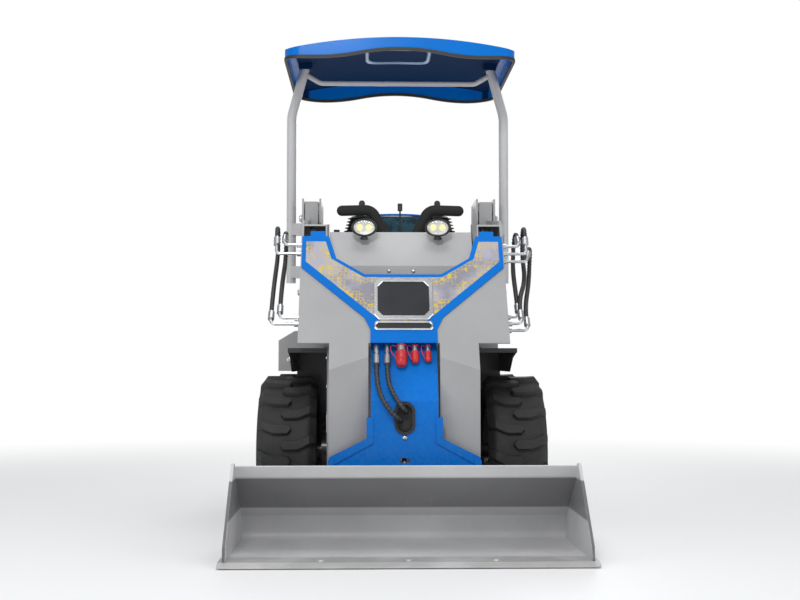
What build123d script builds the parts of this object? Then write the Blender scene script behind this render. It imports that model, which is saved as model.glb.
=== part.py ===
from build123d import *
import os
from math import asin, atan2, cos, hypot, pi, radians, sin, sqrt, tan

os.makedirs("parts", exist_ok=True)

# Lengths are millimetres. The front is -Y, up is +Z and the ground is Z = 0.
# The origin is on the ground, midway along the machine and on its centre plane.

# Whole machine
overall_length = 2620.0
lip_y = -overall_length / 2
tail_y = overall_length / 2
running_gap = 0.05          # radial clearance of a pin in its bore
side_gap = 2.5              # clearance between an eye and its lugs
seat_gap = 0.3              # clearance below soft parts

# Wheels
tyre_radius = 343.0
tyre_width = 262.0
rim_radius = 190.0
rim_width = 230.0
rim_band = 12.0
lug_height = 24.0
lugs_per_tyre = 30
wheel_x = 513.5
wheelbase = 820.0
front_axle_y = lip_y + 1203.0
rear_axle_y = front_axle_y + wheelbase
axle_z = tyre_radius
stub_radius = 35.0
flange_radius = 75.0

# Chassis tub
tub_half = 333.0
tub_wall = 12.0
tub_bottom_z = 190.0
tub_front_y = lip_y + 888.0
tub_nose_y = lip_y + 950.0
bumper_depth = 120.0
tub_rear_y = tail_y - bumper_depth
fender_clearance = 118.0    # tyre top to the fender's underside
fender_wall = 8.0
fender_top_z = 2 * tyre_radius + fender_clearance + fender_wall
fender_half = 503.0
fender_rear_y = lip_y + 1560.0
sill_height = 8.0
sill_top_z = fender_top_z + sill_height
sill_half = 346.0
sheet = 6.0
floor_z = 620.0
bulkhead_y = lip_y + 1600.0
box_half = 600.0
box_shoulder = (80.0, 48.0)
narrow_box_half = 500.0
narrow_box_shoulder = (12.0, 12.0)
box_bottom_z = 2 * tyre_radius + 19.0
box_top_z = 905.0
box_front_y = lip_y + 1620.0
box_rear_y = lip_y + 2480.0
hood_half = tub_half - 3.0
hood_top_z = 1020.0
bumper_half = 450.0
hitch_radius = 12.5

# Rear door
door_gap = 5.0
door_thickness = 36.0
door_half = 324.0
door_low_z = 362.0
door_high_z = 1008.0
louvre_count = 9
door_hinge_y = tub_rear_y + 15.0
door_hinges_z = (470.0, 660.0)
door_pin_radius = 7.0
door_sleeve_radius = 12.0
door_sleeve_half = 20.0
door_hinge_x = -tub_half - door_sleeve_radius

# Uprights and the boom's pivot
pivot_y = lip_y + 1620.0
pivot_z = 1470.0
pivot_pin_radius = 20.0
ear_front_y = pivot_y - 67.0
upright_wall = 10.0
upright_foot_inner = 336.0
upright_inner = 386.0
upright_outer = 482.0
upright_step_z = 1300.0
upright_top_z = 1563.0
upright_front_y = lip_y + 1690.0
upright_rear_y = lip_y + 1830.0

# Boom
arm_outer = 450.0
arm_plate = 10.0
arm_inner = 337.0
arm_sheet = 6.0
arm_top_sheet = 8.0
arm_top_drop = 20.0         # the channel's top lies this far below the outer plate's edge
tongue_inner = 404.0
tongue_start_y = lip_y + 1300.0
tongue_end_y = lip_y + 1500.0
boss_radius = 60.0
slope_foot_y = lip_y + 661.0
slope_foot_z = 815.0
slope_run = 0.593           # rearward run of the front face for each unit of height
arm_tip_z = 1390.0
arm_elbow_y = lip_y + 1545.0
arm_top_rise = 0.115        # rise of the arm's top for each unit towards the rear
guard_inner = 402.0
guard_outer = 466.0
guard_y = lip_y + 1553.0
guard_top_z = 1548.0
arm_bottom_z = 832.0
arm_heel_y = lip_y + 900.0
arm_knee_y = lip_y + 1180.0
arm_knee_z = 1190.0
front_sheet = 8.0
notch_half = 142.5
yoke_plate = 6.0
yoke_half = 446.0
yoke_top_z = 1310.0
yoke_corner_z = 1164.0
shelf_depth = 68.0

# Legs of the boom and the blue front cover
leg_outer = 316.0
leg_inner = 151.0
leg_plate = 8.0
leg_top_z = 1000.0
cover_plate = 6.0
cover_back_y = lip_y + 586.0
cover_bottom_z = 312.0
cover_bend_z = 590.0
cover_top_y = lip_y + 725.0
cover_half = 140.0
cover_web_y = lip_y + 608.0
cover_rim = 27.0
cover_rim_rise = 6.0
leg_toe_outer_y = lip_y + 603.5
leg_toe_inner_y = lip_y + 636.0
leg_open_z = 345.0
grommet_z = 519.5
grommet_width = 70.0
grommet_height = 121.0
grommet_wall = 8.0

# Tool carrier and bucket
hinge_y = lip_y + 690.0
hinge_z = 195.0
hinge_pin_radius = 18.0
hinge_eye_radius = 48.0
carrier_eye_radius = 40.0
carrier_plate = 12.0
carrier_half = 300.0
carrier_ears = ((170.0, 186.0), (281.0, 297.0))
bucket_half = 686.0
bucket_side_wall = 12.0
bucket_sheet = 8.0
bucket_floor_z = 12.0
bucket_heel_y = lip_y + 652.0
bucket_back_y = lip_y + 634.0
bucket_back_z = 121.0
bucket_throat_y = lip_y + 372.0
bucket_throat_z = 303.0
bucket_flange_y = lip_y + 352.0
bucket_flange_z = 345.0
edge_half = 702.5
edge_depth = 160.0
edge_wall = 16.0
edge_bottom_z = 4.0

# Cylinders
lift_base_y = lip_y + 1750.0
lift_base_z = 950.0
lift_eye_y = lip_y + 945.0
lift_eye_z = 1060.0
lift_x = 392.5
lift_barrel_radius = 30.0
lift_rod_radius = 17.5
lift_barrel_length = 640.0
lift_rod_start = 110.0
tilt_base_y = lip_y + 800.0
tilt_base_z = 905.0
tilt_eye_y = lip_y + 602.0
tilt_eye_z = 250.0
tilt_barrel_radius = 30.0
tilt_rod_radius = 16.0
tilt_barrel_length = 500.0
tilt_rod_start = 290.0
barrel_wall = 6.0
barrel_neck = 16.0          # from the base eye's rim to the barrel
base_pin_radius = 14.0
cylinder_eye_radius = 30.0
cylinder_eye_width = 50.0
tilt_eye_radius = 24.0
tilt_ear_gap = 13.0

# Console, lamps and levers
console_half = 332.0
console_wall = 5.0
console_top_z = 1360.0
console_top_y = lip_y + 1220.0
console_fold_y = lip_y + 1110.0
console_fold_z = 1193.0
console_knee_z = 1080.0
console_foot_y = lip_y + 1000.0
console_back_y = lip_y + 1500.0
lamp_x = 171.0
lamp_y = lip_y + 1140.0
lamp_z = 1374.0
lamp_depth = 40.0
lamp_half_width = 61.0
lamp_half_height = 42.0
rail_y = lip_y + 1280.0
rail_z = 1468.0
rail_radius = 25.0
lever_x = 183.0
lever_y = lip_y + 1405.0
lever_top_z = 1535.0
knob_radius = 15.0
bellows_foot = 95.0
bellows_neck = 69.0
bellows_height = 92.0
bellows_folds = 6

# Seat
seat_half = 235.0
seat_front_y = lip_y + 1600.0
seat_rear_y = lip_y + 2040.0
seat_pan = 20.0
cushion_height = 92.0
backrest_half = 212.0
backrest_depth = 84.0
backrest_top_z = 1550.0

# Canopy
post_x = 548.6
post_y = lip_y + 1770.0
post_radius = 24.15
post_foot_z = 1154.0
post_bend_z = 2020.0
post_top_x = 483.0
post_top_z = 2262.0
cross_tube_radius = 12.5
cross_tube_z = 2193.0
cross_tube_half = 380.0
roof_half = 555.0
roof_front_y = lip_y + 1260.0
roof_length = 1000.0
roof_edge_z = 2198.0
roof_arch_rise = 40.0
roof_swell_half = 400.0
roof_crown_z = 2343.0
roof_side_drop = 60.0
roof_end_radius = 3000.0
roof_front_corner = 75.0
roof_rear_corner = 170.0
roof_wall = 8.0
trim_wall = 3.0
trim_height = 14.0

# Hydraulic lines
hose_radius = 11.0
pipe_radius = 7.0
nut_radius = 13.0
ferrule_radius = 14.0
ferrule_length = 42.0


# Helpers

def slope_y(z):
    """Y of the boom's sloping front face at a height."""
    return slope_foot_y + slope_run * (z - slope_foot_z)


slope_stretch = hypot(1, slope_run)
slope_normal = Vector(0, -1 / slope_stretch, slope_run / slope_stretch)


def side_plate(outline, x_low, x_high):
    """A side outline in Y and Z made into a plate from one X to another."""
    return Pos(x_low, 0, 0) * extrude(Plane.YZ * outline, amount=x_high - x_low, dir=(1, 0, 0))


def front_plate(outline, y_low, y_high):
    """A front outline in X and Z made into a plate from one Y to another."""
    return Pos(0, y_low, 0) * extrude(Plane.XZ * outline, amount=y_high - y_low, dir=(0, 1, 0))


def plan_prism(outline, z_low, z_high):
    """A plan outline in X and Y made into a prism from one Z to another."""
    return Pos(0, 0, z_low) * extrude(Plane.XY * outline, amount=z_high - z_low, dir=(0, 0, 1))


def on_slope(points, low, high):
    """A front outline in X and Z laid on the boom's sloping face, from one depth to another."""
    flat = Polygon(*[(x, (z - slope_foot_z) * slope_stretch) for x, z in points], align=None)
    face = Plane(origin=(0, slope_foot_y, slope_foot_z), x_dir=(1, 0, 0), z_dir=slope_normal) * flat
    return Pos(slope_normal * low) * extrude(face, amount=high - low, dir=slope_normal)


def polygon(*points):
    """A polygon whose corners stay where they are given."""
    return Polygon(*points, align=None)


def block(x, y, z):
    """A block from three pairs of low and high values."""
    size = Box(x[1] - x[0], y[1] - y[0], z[1] - z[0], align=(Align.MIN, Align.MIN, Align.MIN))
    return Pos(x[0], y[0], z[0]) * size


def shaft(y, z, radius, x_low, x_high):
    """A round bar along X."""
    bar = Cylinder(radius, x_high - x_low, align=(Align.CENTER, Align.CENTER, Align.MIN))
    return Pos(x_low, y, z) * Rot(0, 90, 0) * bar


def bar_between(start, end, radius):
    """A round bar from one point to another."""
    start, end = Vector(*start), Vector(*end)
    span = end - start
    return extrude(Plane(origin=start, z_dir=span) * Circle(radius), amount=span.length, dir=span)


def tube_along(points, radius, bends):
    """A round bar along straight runs joined by tangent arcs."""
    path = FilletPolyline(*points, radius=bends)
    section = Plane(origin=path @ 0, z_dir=path % 0) * Circle(radius)
    return sweep(section, path=path)


def tangent_to(point, centre, radius, side):
    """Where a line from a point touches a circle, on its left (1) or its right (-1)."""
    run, rise = centre[0] - point[0], centre[1] - point[1]
    turn = atan2(rise, run) + side * asin(radius / hypot(run, rise))
    return centre[0] - side * radius * sin(turn), centre[1] + side * radius * cos(turn)


def eye_outline(base, centre, radius):
    """An outline that runs from the two ends of its base, tangent to a round eye."""
    first, last = base[0], base[-1]
    near = tangent_to(first, centre, radius, -1)
    far = tangent_to(last, centre, radius, 1)
    return polygon(*base, far, centre, near) + Pos(*centre) * Circle(radius)


def mirrored(shape):
    return mirror(shape, about=Plane.YZ)


def both_sides(shape):
    return shape + mirrored(shape)


def write(shape, name):
    export_step(shape, f"parts/{name}.step")


# Wheels

def tyre_carcass():
    half = tyre_width / 2
    bead_half = half - 13
    tread_half = half - 31
    tread_radius = tyre_radius - lug_height
    wall_radius = (tread_radius + rim_radius) / 2 + 20
    stations = [(-bead_half, rim_radius + 10), (-half, wall_radius), (-tread_half, tread_radius),
                (tread_half, tread_radius), (half, wall_radius), (bead_half, rim_radius + 10)]
    rings = [Plane(origin=(x, 0, 0), z_dir=(1, 0, 0), x_dir=(0, 1, 0)) * RegularPolygon(r, lugs_per_tyre)
             for x, r in stations]
    outside = loft(rings, ruled=True)
    bore = Plane.YZ.offset(-half) * RegularPolygon(rim_radius + seat_gap, lugs_per_tyre, major_radius=False)
    return outside - extrude(bore, amount=tyre_width, dir=(1, 0, 0))


def tread_lug(side, angle):
    """One lug: a pointed bar past the middle and a leg swept up to its own shoulder."""
    shoulder = tyre_width / 2 - 3
    bar, nose, knee = 20, 26, 62
    outline = polygon(*[(side * across, around) for across, around in (
        (-nose, 0), (-nose / 2, -bar), (knee, -bar), (shoulder, bar * 0.7),
        (shoulder, bar * 2.5), (knee - 12, bar), (-nose / 2, bar))])
    top = sqrt(tyre_radius ** 2 - (2.5 * bar) ** 2)
    outward = Vector(0, -cos(angle), sin(angle))
    base = Plane(origin=outward * top, x_dir=(1, 0, 0), z_dir=outward)
    lug = extrude(base * outline, amount=2.6 * lug_height, dir=outward * -1)
    shave = Pos(side * (shoulder + 38), 0, 0) * Rot(0, side * 40, 0) * Box(60, 200, 160)
    return lug - base * shave


def tyre():
    pitch = 2 * pi / lugs_per_tyre
    lugs = [tread_lug(-1 if k % 2 else 1, (k + 0.65) * pitch) for k in range(lugs_per_tyre)]
    return tyre_carcass() + lugs


def rim():
    """A steel disc wheel, its dish facing +X, bored for the axle stub."""
    half = rim_width / 2
    disc = 8
    hub = 60
    bore = stub_radius + running_gap
    well = rim_radius - 2 * rim_band
    outline = polygon(
        (-half, rim_radius - rim_band), (-half, rim_radius), (half, rim_radius), (half, rim_radius - rim_band),
        (30 + disc, well), (disc, hub * 2), (disc + 10, hub + 14), (disc + 10, bore),
        (-50, bore), (-50, hub), (-disc, hub + 8), (-disc, hub * 2), (22, well))
    return revolve(Plane.XY * outline, axis=Axis.X)


def axle_housings():
    """Four flanged stubs that the wheels turn on."""
    one = shaft(0, 0, flange_radius, tub_half, tub_half + 32)
    one += shaft(0, 0, stub_radius, tub_half + 32, wheel_x + 6)
    pieces = [Pos(0, y, axle_z) * one for y in (front_axle_y, rear_axle_y)]
    return Compound(children=pieces + [mirrored(piece) for piece in pieces])


# Chassis

def chassis_tub():
    inner = tub_half - tub_wall
    chin_low = tub_bottom_z + 50
    chin_y = tub_nose_y + 66
    side = polygon(
        (tub_front_y, tub_bottom_z + 210), (tub_front_y + 92, tub_bottom_z), (tub_rear_y, tub_bottom_z),
        (tub_rear_y, fender_top_z), (tub_front_y, fender_top_z))
    wall = side_plate(side, inner, tub_half)
    sill = block((inner, sill_half), (tub_front_y, bulkhead_y), (fender_top_z, sill_top_z))
    nose = block((-inner, inner), (tub_nose_y, tub_nose_y + tub_wall), (chin_low, fender_top_z))
    chin = side_plate(polygon(
        (tub_nose_y, chin_low), (tub_nose_y + 50, tub_bottom_z), (chin_y, tub_bottom_z),
        (chin_y, tub_bottom_z + tub_wall), (chin_y - tub_wall, tub_bottom_z + tub_wall),
        (tub_nose_y + tub_wall, chin_low + 4)), -inner, inner)
    belly = block((-inner, inner), (chin_y, tub_rear_y), (tub_bottom_z, tub_bottom_z + tub_wall))
    bulkhead = block((-inner, inner), (bulkhead_y, bulkhead_y + sheet), (tub_bottom_z, fender_top_z))
    return both_sides(wall + sill) + nose + chin + belly + bulkhead + door_hinge_lugs()


def door_hinge_lugs():
    """For each of the rear door's sleeves, two lugs on the tub's side and a pin between them."""
    radius = door_sleeve_radius
    plan = polygon((-tub_half, door_hinge_y - 55), (-tub_half, door_hinge_y), (door_hinge_x - radius, door_hinge_y),
                   (door_hinge_x - radius, door_hinge_y - 35)) + Pos(door_hinge_x, door_hinge_y) * Circle(radius)
    pin = Pos(door_hinge_x, door_hinge_y) * Circle(door_pin_radius)
    pieces = []
    for z in door_hinges_z:
        near = door_sleeve_half + 1
        far = near + 10
        pieces += [plan_prism(plan, z - far, z - near), plan_prism(plan, z + near, z + far)]
        pieces.append(plan_prism(pin, z - far, z + far))
    return pieces


def fender():
    """Top plate, rear wall and an outer skirt that deepens over the wheel."""
    front = tub_front_y - 26
    under = fender_top_z - fender_wall
    skirt_low = 2 * tyre_radius + 20
    top = block((tub_half, fender_half), (front, fender_rear_y), (under, fender_top_z))
    rear = block((tub_half, fender_half), (fender_rear_y - fender_wall, fender_rear_y), (500, under))
    lip = block((tub_half, fender_half), (front, front + sheet), (under - 12, under))
    skirt = polygon((front, fender_top_z), (front, under - 8), (front + 148, under - 34),
                    (front_axle_y - 73, skirt_low), (fender_rear_y, skirt_low), (fender_rear_y, fender_top_z))
    return top + rear + lip + side_plate(skirt, fender_half - fender_wall, fender_half)


def side_box(half, shoulder):
    """Tank box above the rear wheel with a sloping shoulder along its top."""
    run, fall = shoulder
    outline = polygon((tub_half, box_bottom_z), (half, box_bottom_z), (half, box_top_z - fall),
                      (half - run, box_top_z), (tub_half, box_top_z))
    return front_plate(outline, box_front_y, box_rear_y)


def upright():
    """Channel foot and narrower head with two ears, the boom's pin and the lift cylinder's pin."""
    wall = upright_wall
    front, rear = upright_front_y, upright_rear_y
    pivot = (pivot_y, pivot_z)
    foot = block((upright_foot_inner, upright_foot_inner + wall), (front, rear), (box_top_z, upright_step_z + wall))
    foot += block((upright_foot_inner, upright_outer), (rear - wall, rear), (box_top_z, upright_top_z))
    foot += block((upright_foot_inner, upright_inner + wall), (front, rear), (upright_step_z, upright_step_z + wall))
    foot -= block((upright_foot_inner - 1, upright_inner), (front, rear + 1), (upright_step_z + wall, upright_top_z))
    ear = polygon(
        (rear, upright_step_z), (rear, upright_top_z), (ear_front_y, upright_top_z), (ear_front_y, pivot_z - 30),
        (front, upright_step_z))
    head = side_plate(ear, upright_inner, upright_inner + wall)
    head += side_plate(ear, upright_outer - wall, upright_outer)
    head += block((upright_outer - wall, upright_outer), (front, rear), (box_top_z, upright_step_z))
    web_y = front + wall
    head += block((upright_inner, upright_outer), (web_y, web_y + wall), (upright_step_z, upright_top_z))
    head += block((upright_inner, upright_outer), (front, rear), (upright_top_z - wall, upright_top_z))
    pin = shaft(*pivot, pivot_pin_radius, upright_inner, upright_outer + 8)
    pin += shaft(*pivot, pivot_pin_radius + 14, arm_outer + side_gap, upright_outer)
    reach = cylinder_eye_width / 2 + side_gap
    base = shaft(lift_base_y, lift_base_z, base_pin_radius, upright_foot_inner, upright_outer)
    base += shaft(lift_base_y, lift_base_z, cylinder_eye_radius, upright_foot_inner, lift_x - reach)
    base += shaft(lift_base_y, lift_base_z, cylinder_eye_radius, lift_x + reach, upright_outer)
    return foot + head + pin + base


def engine_block():
    body = block((-200, 200), (bulkhead_y + 150, tub_rear_y - 150), (tub_bottom_z + tub_wall, fender_top_z - 12))
    return fillet(body.edges().filter_by(Axis.Z), 30)


def engine_cover():
    """Cover over the engine, open behind; the seat stands on it."""
    chamfer = 30
    outline = polygon((-hood_half, fender_top_z), (hood_half, fender_top_z), (hood_half, hood_top_z - chamfer),
                      (hood_half - chamfer, hood_top_z), (chamfer - hood_half, hood_top_z),
                      (-hood_half, hood_top_z - chamfer))
    inner = hood_half - sheet
    hollow = polygon((-inner, fender_top_z - 1), (inner, fender_top_z - 1), (inner, hood_top_z - chamfer),
                     (inner - chamfer, hood_top_z - sheet), (chamfer - inner, hood_top_z - sheet),
                     (-inner, hood_top_z - chamfer))
    return front_plate(outline, bulkhead_y, tub_rear_y) - front_plate(hollow, bulkhead_y + sheet, tub_rear_y + 1)


def rear_bumper():
    """Counterweight across the tail with a drawbar slot and its pin hole."""
    outline = polygon((tub_rear_y, 220), (tail_y - 30, 220), (tail_y, 250), (tail_y, 340), (tub_rear_y, 340))
    body = side_plate(outline, -bumper_half, bumper_half)
    slot = block((-60, 60), (tail_y - 80, tail_y + 1), (262, 302))
    hole = Pos(0, tail_y - 40, 210) * Cylinder(hitch_radius, 150, align=(Align.CENTER, Align.CENTER, Align.MIN))
    return body - slot - hole


def rear_door():
    """Framed door with a window for the radiator's grille."""
    low, high = door_low_z, door_high_z
    front = tub_rear_y + door_gap
    rear = front + door_thickness
    body = block((-door_half, door_half), (front, rear), (low, high))
    hollow = block((-door_half + sheet, door_half - sheet), (front - 1, rear - sheet), (low + sheet, high - sheet))
    window = block((-240, 240), (front - 1, rear + 1), (low + 120, high - 130))
    body -= hollow + window
    bore = Pos(door_hinge_x, door_hinge_y) * Circle(door_pin_radius + running_gap)
    for z in door_hinges_z:
        ends = (z - door_sleeve_half, z + door_sleeve_half)
        body += block((door_hinge_x, 1 - door_half), (door_hinge_y - 6, door_hinge_y + 6), ends)
        body += plan_prism(Pos(door_hinge_x, door_hinge_y) * Circle(door_sleeve_radius), *ends)
        body -= plan_prism(bore, *ends)
    return body


def rear_grille():
    """Louvre blades in a thin frame, fixed in the rear door."""
    front = tub_rear_y + door_gap
    rear = front + door_thickness
    low, high = door_low_z + 120, door_high_z - 130
    frame = block((-252, 252), (rear - sheet - 10, rear - sheet), (low - 12, high + 12))
    frame -= block((-236, 236), (rear - sheet - 11, rear), (low + 4, high - 4))
    pitch = (high - low - 8) / louvre_count
    blades = []
    for k in range(louvre_count):
        z = low + 4 + (k + 0.5) * pitch
        blade = polygon((rear - 28, z + 16), (rear - 24, z + 18), (rear - 4, z - 14), (rear - 8, z - 16))
        blades.append(side_plate(blade, -238, 238))
    return frame + blades


def floor_plate():
    inner = tub_half - tub_wall
    return block((-inner, inner), (tub_nose_y + tub_wall, bulkhead_y), (floor_z, floor_z + sheet))


# Operator's station

def console():
    """Sloping lamp panel with a flat top and two cheeks, open towards the driver and below."""
    wall = console_wall
    outline = polygon(
        (console_foot_y, sill_top_z), (console_fold_y, console_knee_z), (console_fold_y, console_fold_z),
        (console_top_y, console_top_z), (console_back_y, console_top_z), (console_back_y, console_top_z - 70),
        (console_back_y - 130, sill_top_z))
    hollow = polygon(
        (console_foot_y + wall, sill_top_z - 1), (console_fold_y + wall, console_knee_z),
        (console_fold_y + wall, console_fold_z), (console_top_y + wall, console_top_z - wall),
        (console_back_y + 1, console_top_z - wall), (console_back_y + 1, sill_top_z - 1))
    body = side_plate(outline, -console_half, console_half)
    return body - side_plate(hollow, wall - console_half, console_half - wall)


def under_console():
    """The space that the console's slope bounds, to trim what stands on the slope."""
    return side_plate(polygon(
        (console_fold_y, console_fold_z), (console_top_y, console_top_z), (console_back_y, console_top_z),
        (console_back_y, floor_z), (console_fold_y, floor_z)), -console_half, console_half)


def lamp_housing():
    """An oval lamp bowl on a foot that stands on the console's slope."""
    y = lamp_y
    bowl = front_plate(Ellipse(lamp_half_width, lamp_half_height), y, y + lamp_depth * 0.55)
    bowl -= front_plate(Ellipse(lamp_half_width - 9, lamp_half_height - 10), y - 1, y + 8)
    bowl += front_plate(Ellipse(lamp_half_width * 0.7, lamp_half_height * 0.7), y + lamp_depth * 0.55, y + lamp_depth)
    neck = block((-14, 14), (y + 6, y + lamp_depth), (-110, 0))
    neck -= front_plate(Ellipse(lamp_half_width - 3, lamp_half_height - 3), y, y + lamp_depth + 1)
    return Pos(lamp_x, 0, lamp_z) * (bowl + neck)


def lamp_lens():
    lens = Ellipse(lamp_half_width - 9 - seat_gap, lamp_half_height - 10 - seat_gap)
    return Pos(lamp_x, 0, lamp_z) * front_plate(lens, lamp_y + 2, lamp_y + 8)


def hand_rail():
    """Foam-covered rail, out to the side and down to the console's top."""
    outer, bend, foot = 302 - rail_radius, 136, 62
    points = [(outer, rail_y, rail_z), (bend, rail_y, rail_z + 4), (foot, rail_y, console_top_z - 30)]
    rail = tube_along(points, rail_radius, [50]) + Pos(outer, rail_y, rail_z) * Sphere(rail_radius)
    return rail - block((0, bend), (rail_y - 60, rail_y + 60), (console_top_z - 90, console_top_z))


def control_levers():
    """Two joysticks, a centre lever and a small knob on the left."""
    upright_bar = (Align.CENTER, Align.CENTER, Align.MIN)
    neck_z = console_top_z
    stick = Pos(lever_x, lever_y, neck_z) * Cylinder(7, lever_top_z - neck_z - knob_radius - 30, align=upright_bar)
    stick += Pos(lever_x, lever_y, lever_top_z - knob_radius - 32) * Cylinder(knob_radius, 32, align=upright_bar)
    stick += Pos(lever_x, lever_y, lever_top_z - knob_radius) * Sphere(knob_radius)
    centre_y = lip_y + 1330
    centre = Pos(0, centre_y, console_top_z) * Cylinder(4, 120, align=upright_bar)
    centre += Pos(0, centre_y, 1474) * Cylinder(11.5, 35, align=upright_bar)
    small = Pos(-305, lever_y, console_top_z) * Cylinder(14, 30, align=upright_bar)
    return both_sides(stick) + centre + small


def bellows():
    """A ribbed rubber boot round the foot of a joystick."""
    step = bellows_height / bellows_folds
    taper = (bellows_foot - bellows_neck) / bellows_folds
    points = [(7.3, 0), (bellows_foot - 8, 0)]
    for k in range(bellows_folds):
        radius = bellows_foot - taper * k
        points += [(radius, step * (k + 0.5)), (radius - taper - 8, step * (k + 1))]
    points[-1] = (bellows_neck - 14, bellows_height)
    points.append((7.3, bellows_height))
    return Pos(lever_x, lever_y, console_top_z) * revolve(Plane.XZ * polygon(*points), axis=Axis.Z)


def seat_frame():
    """Pan below the cushion and the backrest's shell."""
    rear = seat_rear_y + backrest_depth
    pan = block((-200, 200), (seat_front_y + 20, rear + 14), (hood_top_z, hood_top_z + seat_pan))
    shell = block((-150, 150), (rear + 6, rear + 14), (hood_top_z, backrest_top_z - 90))
    return pan + shell


def seat_cushion():
    low = hood_top_z + seat_pan + seat_gap
    body = block((-seat_half, seat_half), (seat_front_y, seat_rear_y), (low, low + cushion_height))
    return fillet(body.edges(), 26)


def backrest():
    low = hood_top_z + seat_pan + 34
    front = seat_rear_y + 5
    rear = seat_rear_y + backrest_depth + 6 - seat_gap
    body = block((-backrest_half, backrest_half), (front, rear), (low, backrest_top_z))
    return fillet(body.edges(), 26)


# Canopy

def canopy_frame():
    """Two posts on saddles against the uprights, joined at the top by a U-shaped tube."""
    top = (post_top_x - 14, post_y, post_top_z + 50)
    post = tube_along([(post_x, post_y, post_foot_z), (post_x, post_y, post_bend_z), top], post_radius, [180])
    post -= block((300, 700), (post_y - 60, post_y + 60), (post_top_z, post_top_z + 150))
    saddles = [block((upright_outer, post_x), (post_y - 30, post_y + 30), (z, z + 60)) for z in (1180, 1400)]
    side = post + saddles
    end_x, end_z = post_top_x - 6, post_top_z - 24
    u_tube = tube_along([(end_x, post_y, end_z), (cross_tube_half + 20, post_y, cross_tube_z),
                         (-cross_tube_half - 20, post_y, cross_tube_z), (-end_x, post_y, end_z)],
                        cross_tube_radius, [60, 60])
    return side + mirrored(side) + u_tube


def roof_centre_y():
    return roof_front_y + roof_length / 2


def roof_moulding(inset):
    """Slab with a crown both ways and rounded corners; inset shrinks it at its sides and top."""
    half = roof_half - inset
    top = roof_crown_z - inset
    drop = roof_side_drop * (half / roof_half) ** 2
    low = roof_edge_z - 60
    arch = make_face(Polyline((-half, top - drop), (-half, low), (half, low), (half, top - drop))
                     + ThreePointArc((half, top - drop), (0, top), (-half, top - drop)))
    centre_z = roof_crown_z - roof_end_radius
    swing = 12
    slab = revolve(Plane.XZ * arch, axis=Axis((0, 0, centre_z), (1, 0, 0)), revolution_arc=2 * swing)
    slab = Pos(0, 0, centre_z) * Rot(-swing, 0, 0) * Pos(0, 0, -centre_z) * slab
    outline = Rectangle(2 * half, roof_length - 2 * inset)
    outline = fillet(outline.vertices().sort_by(Axis.Y)[:2], roof_front_corner - inset)
    outline = fillet(outline.vertices().sort_by(Axis.Y)[-2:], roof_rear_corner - inset)
    return slab & plan_prism(outline, roof_edge_z - 40, roof_crown_z + 40)


def edge_arch(lift):
    """What lies below the roof's edge: level at both sides, with a smooth swell in the middle."""
    low = roof_edge_z + lift
    quarter = roof_swell_half / 2
    radius = (quarter ** 2 + (roof_arch_rise / 2) ** 2) / roof_arch_rise
    sag = radius - sqrt(radius ** 2 - (quarter / 2) ** 2)
    foot, waist = (roof_swell_half, low), (quarter, low + roof_arch_rise / 2)
    far, deep = roof_half + 100, low - 200
    right = ThreePointArc(foot, (1.5 * quarter, low + sag), waist)
    left = ThreePointArc((-waist[0], waist[1]), (-1.5 * quarter, low + sag), (-foot[0], low))
    crown = ThreePointArc(waist, (0, low + roof_arch_rise), (-waist[0], waist[1]))
    ends = Polyline((-foot[0], low), (-far, low), (-far, deep), (far, deep), (far, low), foot)
    depth = roof_length / 2 + 100
    return front_plate(make_face(right + crown + left + ends), -depth, depth)


def roof_shell():
    """Moulded roof with two flat pads inside that rest on the posts."""
    shell = roof_moulding(0) - roof_moulding(roof_wall)
    pad = block((post_top_x - 40, post_top_x + 26), (-36, 36), (post_top_z, roof_crown_z))
    offset_y = Pos(0, post_y - roof_centre_y(), 0)
    pads = both_sides(offset_y * pad) & roof_moulding(roof_wall / 2)
    return Pos(0, roof_centre_y(), 0) * (shell - edge_arch(trim_height) + pads)


def roof_trim():
    """Edge strip that closes the roof's lower edge."""
    band = roof_moulding(-trim_wall) - roof_moulding(roof_wall + trim_wall)
    band = (band & edge_arch(trim_height)) - edge_arch(0)
    return Pos(0, roof_centre_y(), 0) * band


# Boom

def arm_top_line(drop):
    """Tip, elbow and rear tangent point of the arm's top edge, lowered by a drop."""
    tip = (slope_y(arm_tip_z - drop), arm_tip_z - drop)
    elbow = (arm_elbow_y, tip[1] + arm_top_rise * (arm_elbow_y - tip[0]))
    return tip, elbow, tangent_to(elbow, (pivot_y, pivot_z), boss_radius - drop, 1)


def arm_outline(drop):
    pivot = (pivot_y, pivot_z)
    tip, elbow, crest = arm_top_line(drop)
    knee = (arm_knee_y, arm_knee_z)
    return polygon(
        (slope_y(arm_bottom_z), arm_bottom_z), tip, elbow, crest, pivot, tangent_to(knee, pivot, boss_radius - drop, -1),
        knee, (arm_heel_y, arm_bottom_z)) + Pos(*pivot) * Circle(boss_radius - drop)


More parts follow.
